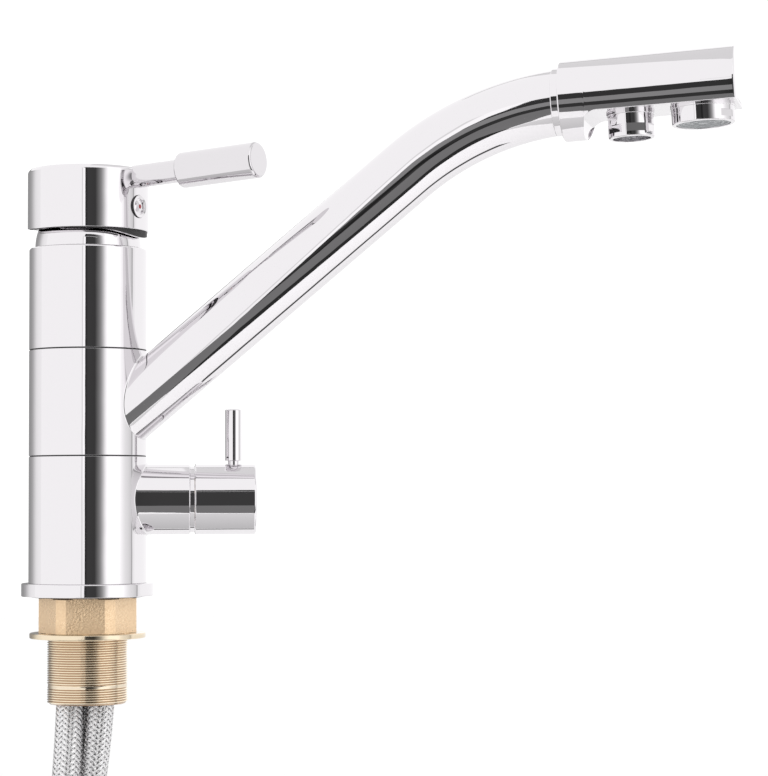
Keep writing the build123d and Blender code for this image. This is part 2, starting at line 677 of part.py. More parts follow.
# ================================================================ lever
lever_out = outward(LEVER_AZ, cos(radians(LEVER_RISE)), sin(radians(LEVER_RISE)))
rod_plane = Plane(origin=(0, 0, LEVER_Z), x_dir=lever_plane.z_dir, z_dir=lever_out)
plug_plane = Plane(origin=(0, 0, PLUG_Z), x_dir=lever_plane.z_dir, z_dir=outward(LEVER_AZ))
rim_plane = Plane(
    origin=(0, 0, CAP_RIM_Z),
    z_dir=outward(LEVER_AZ, sin(radians(CAP_RIM_SLOPE)), cos(radians(CAP_RIM_SLOPE))),
)
with BuildPart() as lever_cap:
    with BuildSketch(Plane.XY.offset(150)):
        Circle(CAP_R)
    extrude(amount=CAP_TOP - 150)
    chamfer(lever_cap.edges().filter_by(GeomType.CIRCLE).group_by(Axis.Z)[-1], 0.9)
    with BuildSketch(Plane.XY.offset(150)):
        Circle(CAP_BORE_R)
    extrude(amount=CAP_CEILING - 150, mode=Mode.SUBTRACT)
    split(bisect_by=rim_plane, keep=Keep.TOP)
    # the hub that grips the stem
    with BuildSketch(Plane.XY.offset(158)):
        Circle(8.5)
    extrude(amount=CAP_CEILING - 158)
    with BuildSketch(Plane.XY.offset(158)):
        Rectangle(2 * STEM_HALF + 0.2, 2 * STEM_HALF + 0.2, rotation=LEVER_AZ)
    extrude(amount=11, mode=Mode.SUBTRACT)
    # grub screw hole through hub and side, with a seat for the indicator in the side
    with BuildSketch(plug_plane):
        Circle(2.5)
    extrude(amount=CAP_R + 5, mode=Mode.SUBTRACT)
    with BuildSketch(plug_plane.offset(CAP_BORE_R - 2)):
        Circle(PLUG_R - 0.3)
    extrude(amount=10, mode=Mode.SUBTRACT)
    # threaded hole of the rod
    with BuildSketch(rod_plane.offset(14)):
        Circle(3.0)
    extrude(amount=20, mode=Mode.SUBTRACT)

with BuildPart() as lever_rod:
    with BuildSketch(rod_plane.offset(20)):
        Circle(ROD_R)
    extrude(amount=GRIP_START + 10 - 20)
    with Locations((0, 0, LEVER_Z)):
        Cylinder(CAP_R, 60, mode=Mode.SUBTRACT)
    with BuildSketch(rod_plane.offset(15)):
        Circle(2.95)
    extrude(amount=15)

with BuildPart() as lever_grip:
    with BuildSketch(rod_plane.offset(GRIP_START)):
        Circle(GRIP_R)
    extrude(amount=GRIP_END - GRIP_START)
    chamfer(lever_grip.edges().filter_by(GeomType.CIRCLE), 0.8)
    with BuildSketch(rod_plane.offset(GRIP_START)):
        Circle(ROD_R + FIT)
    extrude(amount=10.2, mode=Mode.SUBTRACT)

with BuildPart() as grub_screw:
    with BuildSketch(plug_plane.offset(STEM_HALF + 0.05)):
        Circle(2.45)
    extrude(amount=5)
    with BuildSketch(plug_plane.offset(STEM_HALF + 2.5)):
        RegularPolygon(1.25, 6, major_radius=False)
    extrude(amount=4, mode=Mode.SUBTRACT)

with BuildPart() as indicator_bezel:
    with BuildSketch(plug_plane.offset(CAP_BORE_R + 0.3)):
        Circle(PLUG_R - 0.35)
    extrude(amount=CAP_R - CAP_BORE_R)
    with BuildSketch(plug_plane.offset(CAP_R)):
        Circle(PLUG_R)
    extrude(amount=0.6)
    with BuildSketch(plug_plane.offset(CAP_R + 0.1)):
        Circle(3.4)
    extrude(amount=3, mode=Mode.SUBTRACT)

with BuildPart() as indicator_disc:
    with BuildSketch(plug_plane.offset(CAP_R + 0.1)):
        Circle(3.35)
    extrude(amount=0.4)

# ================================================================ side valve
with BuildPart() as valve_collar:
    with BuildSketch(Plane.YZ.offset(SLEEVE_END)):
        with Locations((0, VALVE_Z)):
            Circle(14.2)
            Circle(9.2, mode=Mode.SUBTRACT)
    extrude(amount=1.7)

with BuildPart() as valve_headwork:
    with BuildSketch(Plane.XZ):
        Polygon(
            (17.6, VALVE_Z + 7.4), (17.6, VALVE_Z + 8.8), (29, VALVE_Z + 8.8),
            (29, VALVE_Z + 10.4), (43, VALVE_Z + 10.4), (43, VALVE_Z + 9.0),
            (50.5, VALVE_Z + 9.0), (50.5, VALVE_Z + 4.1), (31.5, VALVE_Z + 4.1),
            (31.5, VALVE_Z + 7.4), align=None,
        )
    revolve(axis=valve_axis)
    # the side windows that let the water out
    with BuildSketch(Plane.XY.offset(VALVE_Z)):
        with Locations((26.5, 0)):
            Rectangle(3.4, 6)
    extrude(amount=12, mode=Mode.SUBTRACT)

with BuildPart() as fixed_valve_disc:
    with BuildSketch(Plane.YZ.offset(17.6)):
        with Locations((0, VALVE_Z)):
            Circle(7.35)
            with PolarLocations(4.2, 2, start_angle=90):
                Circle(2.1, mode=Mode.SUBTRACT)
    extrude(amount=3)

with BuildPart() as moving_valve_disc:
    with BuildSketch(Plane.YZ.offset(20.65)):
        with Locations((0, VALVE_Z)):
            Circle(7.0)
            with PolarLocations(4.2, 2, start_angle=0):
                Circle(2.1, mode=Mode.SUBTRACT)
    extrude(amount=2.8)

with BuildPart() as valve_spindle:
    with BuildSketch(Plane.XZ):
        Polygon(
            (23.45, VALVE_Z), (23.45, VALVE_Z + 6.8), (31.3, VALVE_Z + 6.8),
            (31.3, VALVE_Z + 4.05), (50.8, VALVE_Z + 4.05), (50.8, VALVE_Z + 3.7),
            (59, VALVE_Z + 3.7), (59, VALVE_Z), align=None,
        )
    revolve(axis=valve_axis)

with BuildPart() as filter_knob:
    with BuildSketch(Plane.YZ.offset(KNOB_START)):
        with Locations((0, VALVE_Z)):
            Circle(VALVE_R)
    extrude(amount=KNOB_END - KNOB_START)
    knob_rims = filter_knob.edges().filter_by(GeomType.CIRCLE).sort_by(Axis.X)
    chamfer(knob_rims[-1], 0.9)
    chamfer(knob_rims[0], 0.4)
    with BuildSketch(Plane.YZ.offset(KNOB_START)):
        with Locations((0, VALVE_Z)):
            Circle(9.4)
    extrude(amount=4.6, mode=Mode.SUBTRACT)
    with BuildSketch(Plane.YZ.offset(KNOB_START)):
        with Locations((0, VALVE_Z)):
            Circle(3.75)
    extrude(amount=13, mode=Mode.SUBTRACT)
    # the pin's threaded hole
    with BuildSketch(Plane.XY.offset(VALVE_Z + 8.5)):
        with Locations((PIN_X, 0)):
            Circle(2.45)
    extrude(amount=8, mode=Mode.SUBTRACT)

with BuildPart() as filter_pin:
    with BuildSketch(Plane.XZ):
        Polygon(
            (PIN_X, VALVE_Z + 9), (PIN_X + 1.95, VALVE_Z + 9), (PIN_X + 2.4, VALVE_Z + 14.2),
            (PIN_X + 2.4, VALVE_Z + 16.4), (PIN_X + PIN_R, VALVE_Z + 16.8),
            (PIN_X + PIN_R, VALVE_Z + PIN_TOP - 0.4), (PIN_X + PIN_R - 0.4, VALVE_Z + PIN_TOP),
            (PIN_X, VALVE_Z + PIN_TOP), align=None,
        )
    revolve(axis=Axis((PIN_X, 0, 0), (0, 0, 1)))

# ================================================================ hoses and what is on them
with BuildPart() as hose_tails:
    for route in HOSE_ROUTES.values():
        (tail_x, tail_y, crimp_bottom) = route[0]
        with BuildSketch(Plane(origin=(tail_x, tail_y, 0), x_dir=(1, 0, 0), z_dir=(0, -1, 0))):
            Polygon(
                (HOSE_BORE_R, crimp_bottom), (CRIMP_R, crimp_bottom), (CRIMP_R, CRIMP_TOP),
                (4.9, CRIMP_TOP), (4.9, 10), (HOSE_BORE_R, 10), align=None,
            )
        revolve(axis=Axis((tail_x, tail_y, 0), (0, 0, 1)))

hoses, nipples, hose_nuts = {}, {}, {}
for name, route in HOSE_ROUTES.items():
    turns, runs = [], []
    for before, here, after in zip(route, route[1:], route[2:]):
        first, second = Vector(*here) - Vector(*before), Vector(*after) - Vector(*here)
        turns.append(first.get_angle(second))
        runs.append((first.length, second.length))
    radii = [0.45 * min(pair) / tan(radians(turn / 2)) for pair, turn in zip(runs, turns)]
    print(name, "hose arc radii", [round(r) for r in radii], "turns", [round(t, 1) for t in turns])
    with BuildPart() as hose:
        with BuildLine() as path:
            FilletPolyline(*route, radius=radii)
        with BuildSketch(Plane(origin=route[0], z_dir=(0, 0, -1))):
            Circle(HOSE_R)
        sweep()
    hoses[name] = hose.part
    length = path.wire().length
    section = pi * HOSE_R**2
    print(name, "hose length", round(length, 1), "volume / (section x length)",
          round(hose.part.volume / (section * length), 4))

    # the far end, along the hose's last run
    last_run = (Vector(*route[-1]) - Vector(*route[-2])).normalized()
    end_plane = Plane(origin=route[-1], z_dir=last_run)
    end_side = Plane(origin=route[-1], x_dir=end_plane.x_dir, z_dir=-end_plane.y_dir)
    end_axis = Axis(route[-1], last_run)
    with BuildPart() as nipple:
        with BuildSketch(end_side):
            Polygon(
                (HOSE_BORE_R, 0), (CRIMP_R, 0), (CRIMP_R, 18), (4.7, 18), (4.7, 23),
                (7.2, 23), (7.2, 26.6), (HOSE_BORE_R, 26.6), align=None,
            )
        revolve(axis=end_axis)
    nipples[name] = nipple.part
    with BuildPart() as hose_nut:
        with BuildSketch(end_plane.offset(19.5)):
            RegularPolygon(HOSE_NUT_ACROSS_FLATS / 2, 6, major_radius=False)
            Circle(11.2, mode=Mode.INTERSECT)
        extrude(amount=17.2)
        with BuildSketch(end_side):
            Polygon(
                (0, 19), (4.8, 19), (4.8, 22.9), (7.9, 22.9), (7.9, 27.2),
                (HOSE_NUT_THREAD_R, 27.2), (HOSE_NUT_THREAD_R, 27.2 + HOSE_NUT_THREAD_LENGTH),
                (0, 27.2 + HOSE_NUT_THREAD_LENGTH), align=None,
            )
        revolve(axis=end_axis, mode=Mode.SUBTRACT)
    hose_nuts[name] = hose_nut.part
    mouth = end_plane.offset(27.2 + HOSE_NUT_THREAD_LENGTH).origin
    print(name, "nut mouth", [round(v, 2) for v in mouth], "axis", [round(v, 5) for v in last_run])

# ---------------------------------------------------------------- write every piece
pieces = {
    "base_ring": base_ring.part,
    "base_gasket": base_gasket.part,
    "threaded_shank": threaded_shank.part,
    "fixing_nut": fixing_nut.part,
    "core_column": core_column.part,
    "core_seals": core_seals.part,
    "base_body": base_body.part,
    "lower_slide_ring": lower_slide_ring.part,
    "upper_slide_ring": upper_slide_ring.part,
    "swivel_section": swivel_section.part,
    "spout_tube": spout_tube.part,
    "filter_tube": filter_tube.part,
    "spout_collar": spout_collar.part,
    "outlet_head": outlet_head.part,
    "filter_nozzle": filter_nozzle.part,
    "nozzle_insert": nozzle_insert.part,
    "aerator_housing": aerator_housing.part,
    "aerator_insert": aerator_insert.part,
    "upper_body": upper_body.part,
    "cartridge_housing": cartridge_housing.part,
    "fixed_ceramic_disc": fixed_ceramic_disc.part,
    "moving_ceramic_disc": moving_ceramic_disc.part,
    "disc_carrier": disc_carrier.part,
    "cartridge_turret": cartridge_turret.part,
    "pivot_pin": pivot_pin.part,
    "cartridge_stem": cartridge_stem.part,
    "cartridge_nut": cartridge_nut.part,
    "dome_cover": dome_cover.part,
    "lever_cap": lever_cap.part,
    "lever_rod": lever_rod.part,
    "lever_grip": lever_grip.part,
    "grub_screw": grub_screw.part,
    "indicator_bezel": indicator_bezel.part,
    "indicator_disc": indicator_disc.part,
    "valve_collar": valve_collar.part,
    "valve_headwork": valve_headwork.part,
    "fixed_valve_disc": fixed_valve_disc.part,
    "moving_valve_disc": moving_valve_disc.part,
    "valve_spindle": valve_spindle.part,
    "filter_knob": filter_knob.part,
    "filter_pin": filter_pin.part,
    "hose_tails": hose_tails.part,
}
for name in HOSE_ROUTES:
    pieces[f"{name}_hose"] = hoses[name]
    pieces[f"{name}_hose_nipple"] = nipples[name]
    pieces[f"{name}_hose_nut"] = hose_nuts[name]
for name, part in pieces.items():
    part.label = name
    export_step(part, f"parts/{name}.step")
print(len(pieces), "nodes written")
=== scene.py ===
# %% [markdown]
# # A three way filtered water tap
# This lesson dresses the CAD model of a chrome kitchen tap. The frame from CAD says where every piece is and how it
# moves. Here each visible piece becomes a smooth surface worked out with numpy, because polished chrome shows every
# facet, and gets a material with the finish of the real one.

# %% Load the frame
import json
from math import asin, atan2, cos, hypot, pi, radians, sin, tan

import bmesh
import bpy
import numpy as np
from mathutils import Matrix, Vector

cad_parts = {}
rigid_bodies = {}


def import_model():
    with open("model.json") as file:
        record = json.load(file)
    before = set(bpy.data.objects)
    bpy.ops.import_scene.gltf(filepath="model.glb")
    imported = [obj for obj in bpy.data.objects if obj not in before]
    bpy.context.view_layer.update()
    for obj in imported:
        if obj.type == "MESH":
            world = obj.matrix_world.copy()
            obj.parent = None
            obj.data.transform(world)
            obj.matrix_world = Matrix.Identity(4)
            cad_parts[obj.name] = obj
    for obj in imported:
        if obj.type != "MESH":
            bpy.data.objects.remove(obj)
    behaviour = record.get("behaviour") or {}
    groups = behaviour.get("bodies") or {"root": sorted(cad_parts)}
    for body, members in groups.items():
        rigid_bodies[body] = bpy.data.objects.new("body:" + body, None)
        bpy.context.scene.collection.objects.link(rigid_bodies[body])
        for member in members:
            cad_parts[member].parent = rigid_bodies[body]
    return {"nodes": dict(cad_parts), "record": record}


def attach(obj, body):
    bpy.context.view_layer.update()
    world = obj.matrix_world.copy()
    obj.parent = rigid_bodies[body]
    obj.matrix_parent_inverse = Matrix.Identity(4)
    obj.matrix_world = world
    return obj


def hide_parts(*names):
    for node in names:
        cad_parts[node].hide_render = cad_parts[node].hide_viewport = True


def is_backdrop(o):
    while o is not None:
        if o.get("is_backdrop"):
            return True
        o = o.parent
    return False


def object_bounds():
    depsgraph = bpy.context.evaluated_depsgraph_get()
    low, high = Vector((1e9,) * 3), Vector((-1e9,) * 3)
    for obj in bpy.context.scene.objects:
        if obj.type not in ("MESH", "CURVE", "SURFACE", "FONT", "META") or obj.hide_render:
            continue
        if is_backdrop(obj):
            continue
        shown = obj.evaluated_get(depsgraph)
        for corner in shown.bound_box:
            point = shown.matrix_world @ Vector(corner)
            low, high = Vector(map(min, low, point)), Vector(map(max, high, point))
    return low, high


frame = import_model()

cad_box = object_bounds()
print(len(frame["nodes"]), "CAD nodes, box in mm", [[round(1000 * v, 1) for v in corner] for corner in cad_box])

# %% [markdown]
# ## The camera
# The photograph was taken from about a metre away with a long lens, a little below the middle of the tap and looking
# slightly up. The camera's place was fitted to the tap's outlines, so it is given as three directions: forward, right
# and up. A lens of 112 mm on a 36 mm sensor gives the photograph's angle.

# %% Camera
MM = 0.001
EYE = np.array([35.84, -1033.8, 40.4])
YAW, PITCH_UP, ROLL = radians(5.016), radians(2.649), radians(-0.199)
LENS_PIXELS, PHOTO_PIXELS, SENSOR = 2411, 776, 36
forward = np.array([sin(YAW) * cos(PITCH_UP), cos(YAW) * cos(PITCH_UP), sin(PITCH_UP)])
level = np.array([cos(YAW), -sin(YAW), 0.0])
overhead = np.cross(level, forward)
right = cos(ROLL) * level + sin(ROLL) * overhead
upward = np.cross(right, forward)


def placed(name, data):
    """Adds an object to the scene."""
    made = bpy.data.objects.new(name, data)
    bpy.context.scene.collection.objects.link(made)
    return made


camera = placed("camera", bpy.data.cameras.new("camera"))
place = np.eye(4)
place[:3, :3] = np.stack([right, upward, -forward], axis=1)
place[:3, 3] = EYE * MM
camera.matrix_world = Matrix(place.tolist())
camera.data.lens = LENS_PIXELS * SENSOR / PHOTO_PIXELS
camera.data.sensor_width = SENSOR
camera.data.clip_end = 60
bpy.context.scene.camera = camera
print("camera at", EYE, "mm, lens", round(camera.data.lens, 2), "mm")

# %% [markdown]
# ## Surfaces from grids
# Every new piece is a grid of points: its rows run along the piece and its columns run round it. `skin` joins
# neighbouring points to quads, turns the surface so that its volume comes out positive, which makes the faces point
# outwards, and merges the points that fall together at a pole or a seam.

# %% Grid to mesh
def cells(grid):
    """Quads of a ring grid of points: cell (i, j) joins columns j and j + 1 of rows i and i + 1, and the last column
    joins the first. The order is turned round if the volume under the quads is negative."""
    rows, columns = grid.shape[:2]
    index = np.arange(rows * columns).reshape(rows, columns)
    after = np.roll(index, -1, axis=1)
    quads = np.stack([index[:-1], after[:-1], after[1:], index[1:]], axis=-1).reshape(-1, 4)
    flat = grid.reshape(-1, 3) - grid.reshape(-1, 3).mean(axis=0)
    a, b, c, d = (flat[quads[:, k]] for k in range(4))
    volume = np.einsum("ij,ij->", a, np.cross(b, c)) + np.einsum("ij,ij->", a, np.cross(c, d))
    return quads if volume > 0 else quads[:, ::-1]


def skin(name, *grids, sharp=40.0):
    """One smooth-shaded mesh object from one or more ring grids in millimetres; edges that turn by more than sharp
    degrees stay crisp."""
    quads, start = [], 0
    for grid in grids:
        quads.append(cells(grid) + start)
        start += grid.shape[0] * grid.shape[1]
    points = np.concatenate([grid.reshape(-1, 3) for grid in grids])
    name = name.replace(" ", "_") + "_skin"
    mesh = bpy.data.meshes.new(name)
    mesh.from_pydata(points * MM, [], np.concatenate(quads).tolist())
    shape = bmesh.new()
    shape.from_mesh(mesh)
    bmesh.ops.remove_doubles(shape, verts=shape.verts, dist=1e-6)
    bmesh.ops.dissolve_degenerate(shape, edges=shape.edges, dist=1e-7)
    shape.to_mesh(mesh)
    shape.free()
    mesh.shade_smooth()
    mesh.set_sharp_from_angle(angle=radians(sharp))
    return placed(name, mesh)


# %% [markdown]
# ## Turned pieces
# Most of the tap is turned on a lathe. A turned piece is an outline of (radius, height) corners, carried round an
# axis. Real edges are never knife sharp, and on chrome a rounded edge draws the bright line that the eye reads as
# metal, so `rounded` swaps each corner for a small arc. It also adds a point just before and after each arc. These
# keep the smooth shading of the arc out of the flat next to it.

# %% Outlines and lathe
def rounded(corners, steps=7, margin=0.12):
    """Outline through (radius, height, rounding) corners. A corner with rounding q becomes an arc of radius q that
    touches both runs: its tangent points lie q / tan(half the inner angle) along them."""
    corner = np.array([(c[0], c[1]) for c in corners], float)
    rounding = [c[2] if len(c) > 2 else 0 for c in corners]
    points = [corner[:1]]
    for here, before, after, q in zip(corner[1:-1], corner[:-2], corner[2:], rounding[1:-1]):
        back, ahead = before - here, after - here
        room = min(hypot(*back), hypot(*ahead))
        back, ahead = back / hypot(*back), ahead / hypot(*ahead)
        half = np.arccos(np.clip(back @ ahead, -1, 1)) / 2
        if q <= 0 or half > 1.55:
            points.append(here[None])
            continue
        reach = min(q / tan(half), 0.48 * room)
        q = reach * tan(half)
        middle = here + (back + ahead) / hypot(*(back + ahead)) * q / sin(half)
        first, last = here + back * reach - middle, here + ahead * reach - middle
        turn = pi - 2 * half
        t = np.linspace(0, 1, steps + 1)[:, None]
        arc = middle + (np.sin((1 - t) * turn) * first + np.sin(t * turn) * last) / sin(turn)
        stay = min(margin, 0.3 * room)
        points += [(arc[0] + back * stay)[None], arc, (arc[-1] + ahead * stay)[None]]
    points.append(corner[-1:])
    return np.concatenate(points)


def square_frame(axis, reference):
    """Three unit directions: the axis, the reference made square to it, and the third."""
    axis = np.array(axis, float) / np.linalg.norm(axis)
    first = np.array(reference, float)
    first = first - (first @ axis) * axis
    first /= np.linalg.norm(first)
    return axis, first, np.cross(axis, first)


def circle(count):
    """Even angles round a full turn."""
    return np.linspace(0, 2 * pi, count, endpoint=False)


def spokes(angles, first, second):
    """For each angle a, the direction cos a * first + sin a * second."""
    return np.cos(angles)[..., None] * first + np.sin(angles)[..., None] * second


def turned(outline, origin=(0, 0, 0), axis=(0, 0, 1), reference=(1, 0, 0), around=160, angles=None):
    """Grid of a turned piece: point (i, j) = origin + height_i * axis + radius_i * spoke_j, with the spoke at the
    column's angle. Radius and height may also differ from column to column."""
    axis, first, second = square_frame(axis, reference)
    spoke = spokes(circle(around) if angles is None else angles, first, second)
    radius, height = outline[..., 0], outline[..., 1]
    if radius.ndim == 1:
        radius, height = radius[:, None], height[:, None]
    return np.array(origin, float) + height[..., None] * axis + radius[..., None] * spoke


def closed(corners, **kw):
    """The outline of a ring-shaped piece, closed on itself at its first corner."""
    return rounded(list(corners) + [corners[0]], **kw)


def all_round(outline, count):
    """Rows of (radius, height) that are the same in each of count columns."""
    return np.array(outline, float)[:, None] + np.zeros((count, 2))


# %% [markdown]
# ## The braided hoses
# Three hoses leave the shank: hot, cold and, behind them, the one for filtered water. Each follows a smooth NURBS
# line through the same points as its CAD tube. They are made first, because the rest of the scene depends on where
# they lie.

# %% Hose routes
ROUTES = {
    "hot": [(-6.6, -3.3, -22), (-6.6, -3.3, -46), (-10, -10.5, -98), (-25, -14, -178),
            (-39, -15, -290), (-42.5, -14.5, -398)],
    "cold": [(6.1, -4.1, -22), (6.1, -4.1, -46), (-0.6, 1, -98), (-11, 8, -163),
            (-19.5, 12, -268), (-18.5, 11, -368)],
    "filter": [(0.45, 7.35, -22), (0.45, 7.35, -46), (-0.5, 13.8, -98), (1.5, 26, -166),
            (7, 36, -275), (8, 38.4, -382)],
}
HOSE_R = 6.0


def hose_line(name, spacing=0.5):
    """Points every spacing millimetres along the hose's NURBS spline, whose control points are the route's."""
    curve = bpy.data.curves.new(name, "CURVE")
    curve.dimensions = "3D"
    spline = curve.splines.new("NURBS")
    spline.points.add(len(ROUTES[name]) - 1)
    spline.points.foreach_set("co", [v for p in ROUTES[name] for v in (p[0] * MM, p[1] * MM, p[2] * MM, 1.0)])
    spline.order_u = 3
    spline.use_endpoint_u = True
    spline.resolution_u = 32
    holder = bpy.data.objects.new(name, curve)
    drawn = bpy.data.meshes.new_from_object(holder)
    line = np.empty(len(drawn.vertices) * 3)
    drawn.vertices.foreach_get("co", line)
    line = line.reshape(-1, 3) / MM
    bpy.data.objects.remove(holder)
    along = np.concatenate([[0], np.cumsum(np.linalg.norm(np.diff(line, axis=0), axis=1))])
    at = np.linspace(0, along[-1], int(along[-1] / spacing) + 1)
    return at, np.stack([np.interp(at, along, line[:, k]) for k in range(3)], axis=1)

# %% [markdown]
# The braid is 24 flat bundles of fine wire, 12 that turn one way round the hose and 12 that turn the other way. In
# this herringbone pattern each bundle passes over two and then under two of the others. Where bundle k and bundle j
# cross, k + j says which one is on top, so one cosine of that sum lifts the one and lowers the other.

# %% Braid
BUNDLES = 12
LEAD = 27.0  # the length of hose in which a bundle goes round once
BUNDLE_WIDTH, WIRES = 1.36, 6
ACROSS = np.array([-0.5, -0.2, 0.2, 0.5])
CROWN = np.array([-0.10, 0.13, 0.13, -0.10])  # how far a bundle bulges at each of these places
LIFT = 0.17


def braid(name):
    """Grid of one bundle after another: at distance s along the hose, bundle k stands at the angle 2 pi (k / 12 +
    s / lead), and its height follows a soft square wave of pi / 2 (2 k + 24 s / lead - 1 / 2)."""
    at, line = hose_line(name)
    crossings = 2 * BUNDLES * at[-1] / LEAD
    s = np.linspace(0, at[-1], int(2.9 * crossings))
    centre = np.stack([np.interp(s, at, line[:, k]) for k in range(3)], axis=1)
    # the tangent and two directions square to it, the first kept near +X so that the braid isn't twisted
    tangent = np.gradient(centre, axis=0)
    tangent /= np.linalg.norm(tangent, axis=1)[:, None]
    first = np.array([1.0, 0, 0]) - tangent[:, :1] * tangent
    first /= np.linalg.norm(first, axis=1)[:, None]
    second = np.cross(tangent, first)
    slant = atan2(2 * pi * HOSE_R, LEAD)
    k = np.arange(BUNDLES)[:, None]
    points, quads, start = [], [], 0
    for way in (1, -1):
        phase = pi / 2 * (2 * k + way * 2 * BUNDLES * s / LEAD - 0.5)
        lift = way * LIFT * np.tanh(2.2 * np.cos(phase))
        # across a bundle, the angle grows and the distance along the hose shrinks
        angle = (2 * pi * (k / BUNDLES + way * s / LEAD))[..., None] + ACROSS * BUNDLE_WIDTH * cos(slant) / HOSE_R
        shift = -way * ACROSS * BUNDLE_WIDTH * sin(slant)
        radius = HOSE_R - 0.22 + lift[..., None] + CROWN
        spoke = spokes(angle, first[:, None], second[:, None])
        grid = centre[:, None] + shift[:, None] * tangent[:, None] + radius[..., None] * spoke
        index = start + np.arange(grid[..., 0].size).reshape(grid.shape[:3])
        cell = np.stack([index[:, :-1, :-1], index[:, :-1, 1:], index[:, 1:, 1:], index[:, 1:, :-1]], axis=-1)
        quads.append(cell.reshape(-1, 4)[:, ::-1])
        points.append(grid.reshape(-1, 3))
        start += grid[..., 0].size
    # the dark rubber hose under the braid
    tube = centre[::12, None] + (HOSE_R - 0.52) * spokes(circle(28), first[::12, None], second[::12, None])
    tube_quads = cells(tube) + start
    points.append(tube.reshape(-1, 3))
    mesh = bpy.data.meshes.new(f"{name}_braid")
    mesh.from_pydata(np.concatenate(points) * MM, [], np.concatenate(quads + [tube_quads]).tolist())
    wires = sum(len(q) for q in quads)
    which = np.concatenate([np.zeros(wires, np.int32), np.ones(len(tube_quads), np.int32)])
    mesh.shade_smooth()
    made = placed(f"{name}_braid", mesh)
    # u runs across a bundle and v along it, for the wires in the material
    u = np.tile(np.linspace(0, 1, 4), start // 4)
    v = np.tile(np.repeat(s, 4), 2 * BUNDLES)
    corner = np.empty(len(mesh.loops), np.int32)
    mesh.loops.foreach_get("vertex_index", corner)
    full = np.zeros((len(mesh.vertices), 2))
    full[:start, 0], full[:start, 1] = u, v
    mesh.uv_layers.new(name="bundle").data.foreach_set("uv", full[corner].ravel())
    return made, which, line


hoses = {}
for name in ROUTES:
    hoses[name] = braid(name)
    made, _, line = hoses[name]
    length = np.linalg.norm(np.diff(line, axis=0), axis=1).sum()
    print(name, "hose:", len(made.data.polygons), "faces, line", round(float(length), 1), "mm")

# %% [markdown]
# ## Floor and light
# A studio product photograph is lit by what surrounds it. Chrome has no colour of its own and only mirrors its
# surroundings, so the light here is mostly a bright white room. What gives the tap its shape are dark cards that
# stand outside the picture: the dark end of the room behind the camera, its edges, and a few narrow gaps between
# the white panels. The cards show only in reflections and cast no shadow.

# %% Room
WHITE = 1.15
world = bpy.data.worlds.new("white room")
bpy.context.scene.world = world
world.use_nodes = True
world.node_tree.nodes["Background"].inputs["Color"].default_value = (1, 1, 1, 1)
world.node_tree.nodes["Background"].inputs["Strength"].default_value = WHITE
bpy.context.scene.view_settings.view_transform = "Standard"
bpy.context.scene.view_settings.look = "None"


def fresh(name):
    """A new material, its node tree and its shader's inputs."""
    made = bpy.data.materials.new(name)
    made.use_nodes = True
    return made, made.node_tree, made.node_tree.nodes["Principled BSDF"].inputs


pale_floor, _, settings = fresh("pale floor")
settings["Base Color"].default_value = (0.87, 0.87, 0.87, 1)
settings["Roughness"].default_value = 0.8

card_light, lit, _ = fresh("card light")
lit.nodes.clear()
shine = lit.nodes.new("ShaderNodeEmission")
brightness = lit.nodes.new("ShaderNodeAttribute")
brightness.attribute_name = "level"
lit.links.new(brightness.outputs["Fac"], shine.inputs["Strength"])
lit.links.new(shine.outputs[0], lit.nodes.new("ShaderNodeOutputMaterial").inputs["Surface"])


def card(name, rows, levels):
    """A flat or bent card through rows of two points in metres. Each row has a brightness, which changes evenly from
    row to row."""
    rows = np.array(rows, float)
    n = len(rows)
    mesh = bpy.data.meshes.new(name)
    faces = [(i, i + 1, i + 1 + n, i + n) for i in range(n - 1)]
    mesh.from_pydata(np.concatenate([rows[:, 0], rows[:, 1]]), [], faces)
    mesh.attributes.new("level", "FLOAT", "POINT").data.foreach_set("value", np.tile(np.array(levels, np.float32), 2))
    mesh.materials.append(card_light)
    made = placed(name, mesh)
    made.visible_camera = made.visible_diffuse = made.visible_shadow = made.visible_transmission = False
    made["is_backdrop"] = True


def level_card(name, z, rows, levels):
    """A level card at this height, through rows of two points (x, y)."""
    card(name, [((*p, z), (*q, z)) for p, q in rows], levels)


def upright_card(name, azimuths, levels, distance, low, high):
    """A bent upright card round the column, through azimuths in degrees: 0 is in front of the tap and 90 to its
    right."""
    a = np.radians(azimuths)
    foot = np.stack([np.sin(a) * distance, -np.cos(a) * distance], axis=1)
    card(name, [((x, y, low), (x, y, high)) for x, y in foot], levels)


def panel_card(name, shares, low, high, levels):
    """A part of the white panel on the left, through these shares of its way to the front."""
    place = [(-0.6 + 0.569 * t, 0.1 - 0.544 * t) for t in shares]
    card(name, [((*p, a), (*p, b)) for p, a, b in zip(place, low, high)], levels)


floor_mesh = bpy.data.meshes.new("floor")
ring = circle(64)
floor_z = cad_box[0][2] - 0.0004
floor_rim = np.stack([9 * np.cos(ring), 9 * np.sin(ring), 0 * ring + floor_z], 1)
floor_mesh.from_pydata(floor_rim, [], [tuple(range(64))])
floor_mesh.materials.append(pale_floor)
floor = placed("floor", floor_mesh)
floor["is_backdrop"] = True

# the dark end of the room, behind the camera, grows lighter towards its right
end_x = (-0.75, -0.2, -0.10, 0.02, 0.33, 0.42, 0.52, 0.62, 0.73, 0.85, 0.99)
card("dark_end", [((x, -1.25, -0.44), (x, -1.25, 0.75 if x > -0.2 else 0.48)) for x in end_x],
    (0.04, 0.04, 0.015, 0.055, 0.05, 0.12, 0.21, 0.35, 0.61, 1.0, 1.33))
card("grey_strip", [((x, -1.24, -0.17), (x, -1.24, 0.13)) for x in (-0.75, -0.12)], (0.3, 0.27))
card("light_gap", [((x, -1.24, 0.6), (x, -1.24, 0.615)) for x in (-0.3, 0.5)], (0.8, 0.8))
